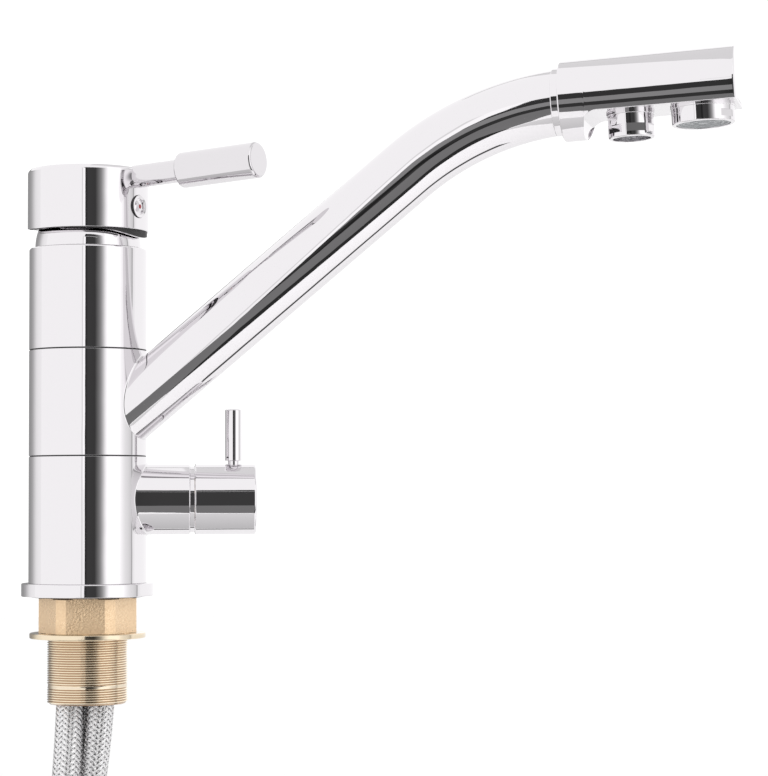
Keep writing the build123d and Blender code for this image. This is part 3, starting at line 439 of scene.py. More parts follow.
# the floor towards it is grey, with a black patch on the right, and pale close to the tap
level_card("grey_floor", -0.43, [((-0.75, -1.25), (-0.17, -0.774)), ((0.1, -1.25), (0.06, -0.455)),
    ((0.6, -1.25), (0.305, -0.42)), ((0.95, -1.25), (0.95, -0.42))],
    (0.2, 0.21, 0.2, 0.2))
level_card("black_floor", -0.426, [((0.12, -0.61), (0.12, -0.43)), ((0.305, -0.57), (0.305, -0.42)),
    ((0.95, -0.6), (0.95, -0.42))], (0.03, 0.03, 0.03))
level_card("near_floor", -0.432, [((-0.4, y), (0.14, y)) for y in (-0.43, 0.17)], (0.84, 0.62))
level_card("spout_floor", -0.43, [((0.36, y), (0.78, y)) for y in (0.1, 0.135, 0.16, 0.21, 0.25)],
    (1.17, 0.2, 0.03, 0.05, 1.0))
level_card("floor_line", -0.432, [((-0.4, y), (0.14, y)) for y in (0.19, 0.24)], (0.05, 0.05))
# a white panel close on the left, whose bright front edge ends the dark band on the column
panel_card("left_panel", (0, 0.8, 0.85, 0.9), (-0.42, -0.42, -0.085, -0.085), (0.9, 0.9, 0.9, 0.3), [WHITE] * 4)
shares = (0.9, 0.925, 0.9293, 0.9429, 0.955, 1)
panel_card("panel_low_edge", shares, [-0.085] * 6, [0.045] * 6, (WHITE, WHITE, 0.86, 0.86, WHITE, WHITE))
panel_card("panel_high_edge", shares, [0.045] * 6, [0.3] * 6, (WHITE, WHITE, 0.86, 0.86, 1.25, 1.25))
# on the right a bright softbox, which ends in a narrow gap, and on the left the room darkens towards the back
upright_card("right_softbox", (38.5, 45, 65, 70, 75, 80, 85, 90, 94, 94.8, 97, 98, 105),
    (1.34, 1.4, 1.36, 1.2, 1.07, 0.97, 0.92, 0.84, 0.76, 0.5, 0.5, 1.02, 1.12), 1.4, -0.43, 1.3)
upright_card("back_left", (-180, -161, -145, -133, -124, -117, -110, -97, -86),
    (0.3, 0.33, 0.36, 0.5, 0.75, 0.95, 1.03, 1.1, 1.14), 1.3, -0.43, 0.6)
# overhead, the edge of a lamp and the greyer ceiling behind it
level_card("lamp_edge", 1.3, [((x, 0.9), (x, 1.0)) for x in (-0.2, 0.9)], (0.5, 0.5))
level_card("ceiling", 1.3, [((x, -0.39), (x, 0.9)) for x in (0.05, 0.9)], (0.86, 0.86))


def softbox(name, place, radiance, size=(0.5, 0.9)):
    """An area light that faces the origin and is seen only as light: its power is radiance x area x pi."""
    lamp = bpy.data.lights.new(name, "AREA")
    lamp.shape = "RECTANGLE"
    lamp.size, lamp.size_y = size
    lamp.energy = radiance * size[0] * size[1] * pi
    made = placed(name, lamp)
    back, side, _ = square_frame(place, (0, 0, 1))
    turn = np.eye(4)
    turn[:3] = np.column_stack([np.cross(side, back), side, back, place])
    made.matrix_world = Matrix(turn.tolist())
    made.visible_camera = made.visible_glossy = False


softbox("key", (0.9, -0.75, 0.55), 4.0)
softbox("fill", (-1.0, -0.6, 0.3), 1.0)
stage_count = sum(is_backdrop(o) or False for o in bpy.context.scene.objects)
print("room: floor at", round(1000 * floor_z, 1), "mm,", stage_count, "stage objects")

# %% [markdown]
# ## Finishes
# Even a polished surface isn't perfectly even: hands leave faint smudges, polishing leaves a slight wave, and a lathe
# leaves fine rings. These effects are shader node groups with named inputs. Each material then sets its own amounts
# and turns them into roughness, colour and a small bump.

# %% Node groups
def group(name, inputs, outputs):
    """An empty shader node group with named inputs (name, kind, value) and outputs (name, kind). Also returns the
    sockets inside it."""
    tree = bpy.data.node_groups.new(name, "ShaderNodeTree")
    for label, kind, value in inputs:
        tree.interface.new_socket(label, in_out="INPUT", socket_type=kind).default_value = value
    for label, kind in outputs:
        tree.interface.new_socket(label, in_out="OUTPUT", socket_type=kind)
    return tree, tree.nodes.new("NodeGroupInput").outputs, tree.nodes.new("NodeGroupOutput").inputs


def node(tree, kind, links=(), **values):
    """Adds a node, sets its options and inputs by name, and links outputs into its inputs. A node given as a source
    stands for its first output."""
    made = tree.nodes.new("ShaderNode" + kind)
    for key, value in values.items():
        if hasattr(made, key):
            setattr(made, key, value)
        else:
            made.inputs[key.replace("_", " ")].default_value = value
    for socket, source in dict(links).items():
        tree.links.new(getattr(source, "outputs", [source])[0], made.inputs[socket])
    return made


FLOAT, VECTOR = "NodeSocketFloat", "NodeSocketVector"

handling, given, out = group(
    "handling",
    [("Vector", VECTOR, (0, 0, 0)), ("Smudge Scale", FLOAT, 60), ("Low", FLOAT, 0.03), ("High", FLOAT, 0.08),
     ("Wave Scale", FLOAT, 90)],
    [("Roughness", FLOAT), ("Wave", FLOAT)],
)
smudge = node(handling, "TexNoise", {"Vector": given["Vector"], "Scale": given["Smudge Scale"]}, Detail=5.0,
    Roughness=0.6)
spread = node(handling, "MapRange", {"Value": smudge, "To Min": given["Low"], "To Max": given["High"]}, From_Min=0.4,
    From_Max=0.75)
wave = node(handling, "TexNoise", {"Vector": given["Vector"], "Scale": given["Wave Scale"]}, Detail=1.0)
handling.links.new(spread.outputs[0], out["Roughness"])
handling.links.new(wave.outputs[0], out["Wave"])

lathe_rings, given, out = group(
    "lathe rings",
    [("Vector", VECTOR, (0, 0, 0)), ("Axis", VECTOR, (0, 0, 1)), ("Per Metre", FLOAT, 3000),
     ("Unevenness", FLOAT, 0.5)],
    [("Rings", FLOAT)],
)
height = node(lathe_rings, "VectorMath", {0: given["Vector"], 1: given["Axis"]}, operation="DOT_PRODUCT")
scaled = node(lathe_rings, "Math", {0: height.outputs["Value"], 1: given["Per Metre"]}, operation="MULTIPLY")
uneven = node(lathe_rings, "TexNoise", {"W": scaled}, noise_dimensions="1D", Scale=1.0, Detail=4.0, Roughness=0.7)
even = node(lathe_rings, "Math", {0: scaled}, operation="SINE")
blend = node(lathe_rings, "Mix", {0: given["Unevenness"], 2: even, 3: uneven}, data_type="FLOAT")
lathe_rings.links.new(blend.outputs[0], out["Rings"])

# %% [markdown]
# The materials themselves. The chrome is the metal's own reflection, a little darker than the white room, so that
# the room shows on it as the light grey of the photograph. Brass has three finishes: the hexagon's faces are as
# milled, the flange is turned, and the thread has painted shade in its grooves, which the distance from the shank's
# axis tells from the crests. Steel wire, rubber, plastic and ceramic follow what such taps are made of inside, and
# the grooves between the wires are painted darker as shade. A piece may have a second finish on some of its faces,
# picked by where their middles are; the cap's skirt and the bezel's outer wall get a black one that paints shade.

# %% Materials
SMUDGE_SCALE, WAVE_SCALE, GRAIN = 60, 90, 400


def touched(name, low, high, smudge_scale, wave_scale):
    """A new material with smudges between two roughness values. Returns the material, its node tree, its coordinates
    and the handling group's node."""
    made, tree, settings = fresh(name)
    where = node(tree, "TexCoord")
    touch = tree.nodes.new("ShaderNodeGroup")
    touch.node_tree = handling
    for key, value in (("Smudge Scale", smudge_scale), ("Low", low), ("High", high), ("Wave Scale", wave_scale)):
        touch.inputs[key].default_value = value
    tree.links.new(where.outputs["Object"], touch.inputs["Vector"])
    tree.links.new(touch.outputs["Roughness"], settings["Roughness"])
    return made, tree, where, touch


def colour_between(tree, share, first, second):
    """Links a mix of two colours, by a share from 0 to 1, to the base colour."""
    shade = node(tree, "Mix", {0: share}, data_type="RGBA")
    for socket, value in ((6, first), (7, second)):
        shade.inputs[socket].default_value = (*value, 1)
    tree.links.new(shade.outputs[2], tree.nodes["Principled BSDF"].inputs["Base Color"])


def relief(tree, height, strength, distance):
    """Links a small bump to the normal."""
    bump = node(tree, "Bump", {"Height": height}, Strength=strength, Distance=distance)
    tree.links.new(bump.outputs[0], tree.nodes["Principled BSDF"].inputs["Normal"])


def metal(name, colour, low, high, wave=0.0, rings=None):
    """A metal with smudges between two roughness values and a slight wave or, if asked, rings (axis, per metre,
    strength) from the lathe."""
    made, tree, where, touch = touched(name, low, high, SMUDGE_SCALE, WAVE_SCALE)
    shader = tree.nodes["Principled BSDF"]
    shader.inputs["Metallic"].default_value = 1.0
    shader.inputs["Base Color"].default_value = (*colour, 1)
    if rings:
        axis, per_metre, strength = rings
        lines = tree.nodes.new("ShaderNodeGroup")
        lines.node_tree = lathe_rings
        lines.inputs["Axis"].default_value = axis
        lines.inputs["Per Metre"].default_value = per_metre
        tree.links.new(where.outputs["Object"], lines.inputs["Vector"])
        relief(tree, lines.outputs["Rings"], strength, 0.0004)
    elif wave:
        relief(tree, touch.outputs["Wave"], wave, 0.002)
    return made


def dull(name, colour, low, high, bump_strength=0.1, coat=0.0):
    """A plastic, rubber or ceramic: its colour varies a little with a fine grain."""
    made, tree, where, touch = touched(name, low, high, GRAIN / 4, GRAIN)
    tree.nodes["Principled BSDF"].inputs["Coat Weight"].default_value = coat
    darker, lighter = ([min(1.0, c * value) for c in colour] for value in (0.88, 1.08))
    colour_between(tree, touch.outputs["Wave"], darker, lighter)
    relief(tree, touch.outputs["Wave"], bump_strength, 0.0003)
    return made


looks = {
    "chrome": metal("polished chrome", (0.765, 0.745, 0.765), 0.02, 0.05, wave=0.02),
    "brass": metal("turned brass", (0.80, 0.68, 0.51), 0.1, 0.18, wave=0.02),
    "joint_line": dull("black joint ring", (0.02, 0.02, 0.022), 0.35, 0.5),
    "rubber": dull("black rubber", (0.022, 0.022, 0.022), 0.5, 0.75),
    "white_plastic": dull("white plastic", (0.78, 0.78, 0.75), 0.3, 0.45),
    "grey_plastic": dull("grey plastic", (0.30, 0.31, 0.32), 0.35, 0.5),
    "ceramic": dull("ground ceramic", (0.86, 0.85, 0.80), 0.08, 0.2, bump_strength=0.02),
    "steel": metal("steel", (0.56, 0.56, 0.56), 0.18, 0.32, rings=((0, 0, 1), 6000, 0.12)),
    "braid": metal("steel wire", (0.62, 0.62, 0.61), 0.2, 0.3),
    "indicator": dull("indicator", (0.25, 0.008, 0.015), 0.1, 0.2, coat=0.3),
}
slot_of = {part["node"]: part["material_slot"] for part in frame["record"]["subparts"]}
for name, cad in frame["nodes"].items():
    for holder in cad.material_slots:
        holder.material = looks[slot_of[name]]
print(len(looks), "materials on", len(slot_of), "CAD nodes")


def wire_material():
    """Steel wire: six round wires lie side by side in a bundle, so the height follows |sin(6 pi u)| across it, and the
    groove between wires is painted darker as shade."""
    made = metal("braided wire", (0.9, 0.9, 0.9), 0.12, 0.2)
    tree = made.node_tree
    where = node(tree, "UVMap", uv_map="bundle")
    split = node(tree, "SeparateXYZ", {0: where})
    angle = node(tree, "Math", {0: split}, operation="MULTIPLY")
    angle.inputs[1].default_value = WIRES * pi
    height = node(tree, "Math", {0: node(tree, "Math", {0: angle}, operation="SINE")}, operation="ABSOLUTE")
    relief(tree, height, 0.6, 0.00012)
    # painted shade: the groove between wires is painted at about half the crest's brightness
    groove, crest = ((v, v * 0.99, v) for v in (0.50, 0.97))
    colour_between(tree, height, groove, crest)
    return made


def milled_brass():
    """Brass as it comes from the saw and the tumbler: a fine sandy grain that scatters part of the light, and a
    colour that varies a little."""
    made = metal("milled brass", (0.76, 0.57, 0.395), 0.26, 0.36)
    tree = made.node_tree
    tree.nodes["Principled BSDF"].inputs["Metallic"].default_value = 0.6
    where = node(tree, "TexCoord")
    sand = node(tree, "TexNoise", {"Vector": where.outputs["Object"]}, Scale=1100.0, Detail=2.0)
    relief(tree, sand, 0.35, 0.0004)
    colour_between(tree, sand, (0.62, 0.42, 0.25), (0.88, 0.67, 0.44))
    return made


def thread_brass_groove_shade():
    """Turned brass with painted shade in the grooves of the thread: the distance from the shank's axis tells a groove
    from a crest, and the grooves are painted darker."""
    made = metal("thread brass with painted groove shade", (0.80, 0.68, 0.51), 0.1, 0.18, wave=0.02)
    tree = made.node_tree
    where = node(tree, "TexCoord")
    across = node(tree, "VectorMath", {0: where.outputs["Object"]}, operation="MULTIPLY")
    across.inputs[1].default_value = (1, 1, 0)
    radial = node(tree, "VectorMath", {0: across}, operation="LENGTH")
    depth = node(tree, "MapRange", {"Value": radial.outputs["Value"]}, From_Min=16.35 * MM, From_Max=16.85 * MM)
    # painted shade: darker brown in the grooves, brass on the crests
    colour_between(tree, depth, (0.50, 0.36, 0.25), (0.90, 0.80, 0.64))
    return made


chrome, brass = looks["chrome"], looks["brass"]
wire, hose_rubber = wire_material(), dull("hose rubber", (0.012, 0.012, 0.012), 0.6, 0.8)
nut_brass = milled_brass()
lever_chrome = metal("lever chrome", (0.70, 0.68, 0.70), 0.03, 0.07, wave=0.02)
# near-black finish that paints shade: the shadow crescent under the cap's rim and the shadow groove round the bezel
painted_shade_black = dull("painted shade black", (0.012, 0.011, 0.012), 0.5, 0.7)


def settle(made, material, body, slot, *nodes):
    """Gives a new piece its material and the body it rides on, and hides the CAD nodes that it stands for. The slot
    argument is not used."""
    made.data.materials.append(material)
    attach(made, body)
    if nodes:
        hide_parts(*nodes)
    print(made.name, "rides on", body, "-", len(made.data.polygons), "faces")
    return made


def chromed(name, body, *grids, stands_for=None, sharp=40.0):
    """Makes a polished chrome piece from its grids. It stands for the CAD node of its own name or of another one."""
    return settle(skin(name, *grids, sharp=sharp), chrome, body, "chrome", stands_for or name.replace(" ", "_"))


def second_finish(made, material, choose):
    """Gives the faces whose middles, in millimetres, choose picks a second material."""
    mesh = made.data
    middles = np.empty(3 * len(mesh.polygons))
    mesh.polygons.foreach_get("center", middles)
    mesh.materials.append(material)
    mesh.polygons.foreach_set("material_index", choose(middles.reshape(-1, 3) / MM).astype(np.int32))


# %% [markdown]
# The hoses get their wire, and the rubber under it gets its own material.

# %% Hose materials
for name, (made, which, line) in hoses.items():
    settle(made, wire, "base", "braid", f"{name}_hose")
    made.data.materials.append(hose_rubber)
    made.data.polygons.foreach_set("material_index", which)

# %% [markdown]
# ## The column
# The column is three chrome sections on the base ring. They are plain turned rings with slightly rounded rims, and
# the dark slide rings between them stay from the CAD model.

# %% Base ring, upper body and dome
COLUMN_R, DOME_R, DOME_INSIDE, DOME_Z = 25, 22.5, 20.8, 148
base_ring = closed([(17.05, 2), (24.2, 2), (24.2, 0), (28, 0, 0.35), (28, 5.5, 0.45), (17.05, 5.5)])
chromed("base ring", "base", turned(base_ring))
upper = closed([(12.1, 112), (12.1, 104.47), (COLUMN_R, 104.47, 0.12), (COLUMN_R, 147.5, 0.9), (21.5, 147.5, 0.1),
    (21.5, 140), (20.2, 140), (20.2, 112)])
chromed("upper section", "base", turned(upper, around=256), stands_for="upper_body")
ball = np.linspace(0, asin(12 / DOME_R), 14)
dome = np.concatenate([
    [(DOME_INSIDE, DOME_Z), (19.6, 145.5), (21.4, 145.5), (21.4, 147.5), (DOME_R, 147.5), (DOME_R, 147.8)],
    np.stack([DOME_R * np.cos(ball), DOME_Z + DOME_R * np.sin(ball)], 1), [(18.6, 160.1)],
    np.stack([DOME_INSIDE * np.cos(ball[::-1]), DOME_Z + DOME_INSIDE * np.sin(ball[::-1])], 1)])
chromed("dome", "base", turned(dome), stands_for="dome_cover")

# %% [markdown]
# ## Where a tube leaves the column
# The valve's sleeve and the spout leave the column sideways. On the real tap the join is ground to a small hollow.
# A ball that rolls along both surfaces gives exactly that shape: its centre stays one ball radius off the column and
# off the tube, which is a quadratic equation for each direction round the tube, and the ball touches each surface on
# the way back from its centre.

# %% Rolling ball
ring = circle(192)
HOLLOW_STEPS = 8


def branch(origin, axis, radius, ball_r, end, shares):
    """Rows of points of a tube that leaves the column. Row k of its hollow is the ball's surface at a share k / steps
    of the turn between the ball's two touching points. Straight rows follow, at these shares of the way from there to
    the distance end along the axis."""
    axis, first, second = square_frame(axis, (0, 0, 1))
    origin, spoke = np.array(origin, float), spokes(ring, first, second)
    start = origin + (radius + ball_r) * spoke
    a, b = axis[:2] @ axis[:2], start[:, :2] @ axis[:2]
    c = (start[:, :2] ** 2).sum(axis=1) - (COLUMN_R + ball_r) ** 2
    along = (-b + np.sqrt(b * b - a * c)) / a
    centre = start + along[:, None] * axis
    shrink = COLUMN_R / (COLUMN_R + ball_r)
    from_column, from_tube = centre * [shrink, shrink, 1] - centre, -ball_r * spoke
    turn = np.arccos(np.clip(np.einsum("ij,ij->i", from_column, from_tube) / ball_r**2, -1, 1))[:, None]
    t = np.linspace(0, 1, HOLLOW_STEPS + 1)[:, None, None]
    hollow = centre + (np.sin((1 - t) * turn) * from_column + np.sin(t * turn) * from_tube) / np.sin(turn)
    along = along + np.array(shares)[:, None] * (end - along)
    return np.concatenate([hollow, origin + along[..., None] * axis + radius * spoke])


# %% Base body with its sleeve
VALVE = (0, 0, 40.8)
SLEEVE_R, SLEEVE_HOLLOW = 15, 0.7
sleeve_end = rounded([(SLEEVE_R, 41), (SLEEVE_R, 43.2, 0.4), (10.5, 43.2, 0.2), (10.5, 26)])
sleeve = np.concatenate([
    branch(VALVE, (1, 0, 0), SLEEVE_R, SLEEVE_HOLLOW, 40.0, [0.04, 0.3, 0.7, 1]),
    turned(sleeve_end, VALVE, (1, 0, 0), (0, 0, 1), angles=ring)])
column = closed([(15.1, 58.9), (15.1, 14), (17.05, 14), (17.05, 5.5), (COLUMN_R, 5.5, 0.15), (COLUMN_R, 58.9, 0.12)])
chromed("base section", "base", turned(column, around=256), sleeve, stands_for="base_body")

# %% [markdown]
# ## The spout
# The spout rises straight at 38.7 degrees out of the swivel section and then bends flat in one arc towards the head.
# Its rings stand square to that centre line.

# %% Spout line
SPOUT_AZ, RISE, TILT = radians(-19), radians(38.7), radians(2.7)
FOOT_Z, TUBE_R, SPOUT_HOLLOW = 63.5, 13.5, 0.8
STRAIGHT_REACH, BEND_R, HEAD_REACH = 140.3, 121, 205.7  # both reaches are measured level, from the column's axis
COLLAR = 3.2
out = np.array([cos(SPOUT_AZ), sin(SPOUT_AZ), 0.0])
top = np.array([0, 0, 1.0])
foot = np.array([0, 0, FOOT_Z])
rise = cos(RISE) * out + sin(RISE) * top
STRAIGHT = STRAIGHT_REACH / cos(RISE)
bend_centre = ((STRAIGHT_REACH + BEND_R * sin(RISE)) * out
    + (FOOT_Z + STRAIGHT_REACH * tan(RISE) - BEND_R * cos(RISE)) * top)
head_axis = cos(TILT) * out + sin(TILT) * top
head_up = -sin(TILT) * out + cos(TILT) * top
bend_end = bend_centre + BEND_R * head_up
head_origin = HEAD_REACH * out + (bend_end @ top - (bend_end @ out - HEAD_REACH) * tan(TILT)) * top


def ring_on_bend(slope, radius, angles):
    """A ring of the bent part, where the centre line has this slope, and the line's direction there."""
    along = cos(slope) * out + sin(slope) * top
    up = -sin(slope) * out + cos(slope) * top
    side = np.cross(along, up)
    return bend_centre + BEND_R * up + radius * spokes(angles, up, side), along


# the bend stops where it reaches the collar, and its last ring is slid along the tube onto the collar's plane
slopes = np.linspace(RISE, radians(4), 400)
gap = np.array([(ring_on_bend(g, 0, np.zeros(1))[0][0] - head_origin) @ head_axis + COLLAR for g in slopes])
last = slopes[np.argmax(gap > 0)]
bent = [ring_on_bend(g, TUBE_R, ring)[0] for g in np.linspace(RISE, last, 30)]
_, along = ring_on_bend(last, TUBE_R, ring)
bent[-1] = bent[-1] - (((bent[-1] - head_origin) @ head_axis + COLLAR) / (along @ head_axis))[:, None] * along
lip = bent[-1].mean(axis=0) + (bent[-1] - bent[-1].mean(axis=0)) * 12.5 / TUBE_R
rising = branch(foot, rise, TUBE_R, SPOUT_HOLLOW, STRAIGHT, [0.01, 0.1, 0.3, 0.6, 0.95])
chromed("spout", "spout", np.concatenate([rising, np.stack(bent), lip[None]]), stands_for="spout_tube")
swivel = closed([(15.3, 70), (18.05, 70), (18.05, 59.42), (COLUMN_R, 59.42, 0.12), (COLUMN_R, 103.93, 0.12),
    (18.05, 103.93), (18.05, 95), (15.3, 95)])
chromed("swivel section", "spout", turned(swivel, around=256))
collar = closed([(11.5, -COLLAR), (13.9, -COLLAR, 0.3), (13.9, 0, 0.3), (11.5, 0)])
chromed("spout collar", "spout", turned(collar, head_origin, head_axis, head_up))

# %% [markdown]
# ## The outlet head
# The head is a cylinder whose underside is cut flat past a full-round leg, with a hollow corner between the two. Its
# section is a circle cut by a chord, with a small rounding where they meet. The circle, the rounding and the chord
# are each known in closed form, so the section is a function of the chord's depth, and the head is that section with
# a depth that changes along its axis.

# %% Head
HEAD_R, EDGE, FLAT = 16.5, 0.45, 7


def head_section(radius, depth, edge):
    """Points (side, up, share of the way round the circle) of half a section, for arrays of radius and depth. The
    rounding's centre lies edge inside both the circle and the chord; the chord runs to it, the rounding turns to the
    circle, and the circle runs on to the top."""
    radius = np.atleast_1d(radius)[:, None]
    depth = np.minimum(np.atleast_1d(depth)[:, None], radius)
    inner = np.sqrt(np.maximum((radius - edge) ** 2 - (depth - edge) ** 2, 0))
    meet = np.arctan2(inner, depth - edge)
    chord, turn, rest = (np.linspace(0, 1, n, endpoint=e)[None] for n, e in ((10, False), (7, False), (56, True)))
    on_circle = meet + rest * (pi - meet)
    x = np.concatenate([inner * chord, inner + edge * np.sin(turn * meet), radius * np.sin(on_circle)], axis=1)
    y = np.concatenate([-depth + 0 * chord, -(depth - edge) - edge * np.cos(turn * meet),
        -radius * np.cos(on_circle)], axis=1)
    share = np.concatenate([0 * chord, 0 * turn, rest], axis=1) + 0 * depth
    return x, y, share


# each row of the cut is (distance along the axis, depth of the chord): the leg, its rounded edge, the hollow corner
# and the flat
corner = np.linspace(0, pi / 2, 12)
edge_turn = np.linspace(0, pi / 2, 6)
cut = np.concatenate([
    [(0.6, HEAD_R), (4, HEAD_R), (8.2, HEAD_R)],
    np.stack([8.35 + 0.35 * np.sin(edge_turn), HEAD_R - 0.35 * (1 - np.cos(edge_turn))], 1), [(8.7, 15.9), (8.7, 14.5)],
    np.stack([15.2 - 6.5 * np.cos(corner), 13.5 - 6.5 * np.sin(corner)], 1),
    [(16, FLAT), (24, FLAT), (40, FLAT), (56, FLAT), (70.2, FLAT)]])
# higher up the circle, the rows are spread evenly along the head
rows = np.arange(len(cut))
corner_end = len(cut) - 6
spread_u = np.interp(rows, [0, 2, corner_end, len(cut) - 1], [0.6, 8.2, 15.2, 70.2])
spread_u = np.where(rows >= corner_end, cut[:, 0], spread_u)
side, up, share = head_section(np.full(len(cut), HEAD_R), cut[:, 1], EDGE)
ease = np.clip(share * 3, 0, 1)
ease = ease * ease * (3 - 2 * ease)
u = cut[:, :1] + ease * (spread_u[:, None] - cut[:, :1])
# the right end: the section shrinks round a small edge and then closes over a slightly crowned face
shrink = 0.6 * (1 - np.cos(edge_turn[1:]))
end_side, end_up, _ = head_section(HEAD_R - shrink, FLAT - shrink, EDGE * 0.6)
end_u = 70.5 + 0.6 * np.sin(edge_turn[1:])[:, None] + 0 * end_side
fade = np.array([0.97, 0.8, 0.6, 0.4, 0.2, 0.0])[:, None]
face_side, face_up = end_side[-1:] * fade, 2 + (end_up[-1:] - 2) * fade
face_u = 71.1 + 0.5 * (1 - (face_side**2 + face_up**2) / HEAD_R**2)
# the left end: rounded to the collar
left = 0.45 * (1 - np.sin(edge_turn))
left_side, left_up, _ = head_section(np.append(11.9, HEAD_R - left), np.append(HEAD_R, HEAD_R - left), EDGE)
left_u = np.append(0, 0.45 * (1 - np.cos(edge_turn)))[:, None] + 0 * left_side
side = np.concatenate([left_side, side, end_side, face_side])
up = np.concatenate([left_up, up, end_up, face_up])
u = np.concatenate([left_u, u, end_u, face_u])
# the other half is the mirror image
side, up, u = (np.concatenate([half, flip * half[:, -2:0:-1]], axis=1) for half, flip in ((side, -1), (up, 1), (u, 1)))
head_side = np.cross(head_axis, head_up)
head = head_origin + u[..., None] * head_axis + up[..., None] * head_up + side[..., None] * head_side
chromed("outlet head", "spout", head, sharp=50)

# %% [markdown]
# ## The two outlets
# Both outlets hang from the flat on small flanges. The filtered water comes from the narrow one, a nozzle with six
# spanner flats. Mixed water comes from the wide aerator, which has two. A flat is a plane, so along it the radius is
# the flat's distance over the cosine of the angle from its middle. The piece's radius is the smaller of that and the
# turned radius. The columns of the grid fall exactly on the flats' corners, which keeps them crisp.

# %% Flats on turned pieces
def milled(outline, corner, flat, facing, count, low=-np.inf, high=np.inf, across=6, between=3):
    """Rows (radius, height) of an outline with flats milled between two heights, and the angles of their columns: even
    steps across each flat and between the corners of two flats. On a flat the radius is the smaller of the turned one
    and flat / cos(angle from its middle). Rows just outside the heights make the step at the flats' ends."""
    half, pitch = np.arccos(flat / corner), 2 * pi / count
    one = np.concatenate([np.linspace(-half, half, across, endpoint=False),
        np.linspace(half, pitch - half, between, endpoint=False)])
    angles = (facing + np.arange(count)[:, None] * pitch + one).ravel()
    off = (angles - facing + pitch / 2) % pitch - pitch / 2
    rows = all_round(outline, len(angles))
    inside = (rows[:, 0, 1] >= low) & (rows[:, 0, 1] <= high)
    rows[inside, :, 0] = np.minimum(rows[inside, :, 0], flat / np.cos(off))
    return rows, angles


def below_head(at):
    """The point on the head's flat this far along it."""
    return head_origin + at * head_axis - FLAT * head_up


# %% Nozzle, aerator and its insert
NOZZLE_AT, NOZZLE_R, NOZZLE_FLAT = 27.2, 9.4, 8.6
AERATOR_AT, AERATOR_R, AERATOR_FLAT = 56.4, 12.8, 12.3
nozzle_outline = np.concatenate([
    rounded([(4.6, -0.5), (9.8, -0.5), (9.8, 1.1, 0.35), (NOZZLE_R, 1.1, 0.1), (NOZZLE_R, 3)], steps=9),
    [(NOZZLE_R, h) for h in (5.2, 5.39, 5.4, 5.5, 8.5, 8.6, 8.61, 8.8)],
    rounded([(NOZZLE_R, 8.9), (NOZZLE_R, 10.6, 0.8), (7.7, 10.6, 0.25), (7.7, 5.4), (4.6, 5.4)], steps=9)])
grid, angles = milled(nozzle_outline, NOZZLE_R, NOZZLE_FLAT, SPOUT_AZ + radians(89.3), 6, low=5.4, high=8.6)
chromed("filter nozzle", "spout", turned(grid, below_head(NOZZLE_AT), -head_up, head_axis, angles=angles), sharp=18)

aerator_outline = np.concatenate([
    rounded([(8.2, -0.5), (13.1, -0.5), (13.1, 0.9, 0.3), (AERATOR_R, 0.9, 0.1), (AERATOR_R, 2)], steps=9),
    [(AERATOR_R, h) for h in (2.7, 2.89, 2.9, 3.0, 5.6, 5.7, 5.71, 5.8)],
    rounded([(AERATOR_R, 5.9), (AERATOR_R, 7.3, 0.9), (10.9, 7.3, 0.25), (10.9, 1.6), (8.2, 1.6)], steps=9)])
grid, angles = milled(aerator_outline, AERATOR_R, AERATOR_FLAT, SPOUT_AZ + radians(53), 2, 2.9, 5.7, 12, 50)
chromed("aerator housing", "spout", turned(grid, below_head(AERATOR_AT), -head_up, head_axis, angles=angles), sharp=18)
insert_outline = rounded([
    (0, 2), (10.85, 2, 0.1), (10.85, 6.9, 0.3), (9.9, 6.9, 0.3), (9.6, 6.3, 0.1), (8.6, 6.2, 0.1), (8.3, 6.75, 0.2),
    (7.7, 6.75, 0.2), (7.4, 6.2, 0.1), (5.4, 6.2, 0.1), (5.1, 6.7, 0.2), (4.5, 6.7, 0.2), (4.2, 6.2, 0.1),
    (2.4, 6.2, 0.1), (2.0, 6.8, 0.3), (0, 6.9)])
settle(skin("aerator insert", turned(insert_outline, below_head(AERATOR_AT), -head_up, head_axis, around=96)),
       looks["grey_plastic"], "spout", "grey_plastic", "aerator_insert")

# %% [markdown]
# ## Cap, lever and indicator
# The cap is a cup whose rim hangs over the dome. Inside it sits a skirt that reaches a little lower than the chrome,
# most of all near the lever; its outer wall is painted black as shade and shows as the black crescent of shadow
# under the rim. So each column of the grid has its own rim height and skirt height. The rim drops by
# 0.27 cos(angle + 80 degrees) mm, which tips it by about half a degree. The skirt reaches 0.3 + 0.3 c + 2.5 c^6 mm
# below it, where c is the cosine of the angle from the crescent's thickest place, and the last term only counts on
# that side. The skirt's outer wall gets the black finish of painted shade.
# Opposite the lever the rim rises by 2 mm, so that the cap can tip back there without meeting the upper body.

# %% Cap
LEVER_AZ, LEVER_RISE = radians(-33), radians(2.9)
CRESCENT_AZ = radians(-26)
CAP_R, CAP_TOP, RIM, SKIRT_R, SKIRT = 25.75, 181.3, 155.0, 24.9, 152.5
lever_side = np.array([cos(LEVER_AZ), sin(LEVER_AZ), 0.0])
lever_out = cos(LEVER_RISE) * lever_side + sin(LEVER_RISE) * top
around = circle(256)
outline = np.concatenate([
    [(0, CAP_TOP), (8, CAP_TOP), (16, CAP_TOP)],
    rounded([(20, CAP_TOP), (CAP_R, CAP_TOP, 2.1), (CAP_R, 172), (CAP_R, RIM, 0.35), (SKIRT_R, RIM, 0.1),
    (SKIRT_R, SKIRT, 0.15), (23.1, SKIRT, 0.2), (23.1, 170), (8.5, 170)]),
    [(8.5, 158), (5.7, 158), (5.7, 169), (0, 169)]])
away = np.maximum(-np.cos(around - LEVER_AZ), 0)
rim_drop = 0.27 * np.cos(around + radians(80)) - 2.0 * away ** 4
near = np.cos(around - CRESCENT_AZ)
skirt_reach = np.maximum(0.3 + 0.3 * near + 2.5 * np.maximum(near, 0) ** 6, 0.1)
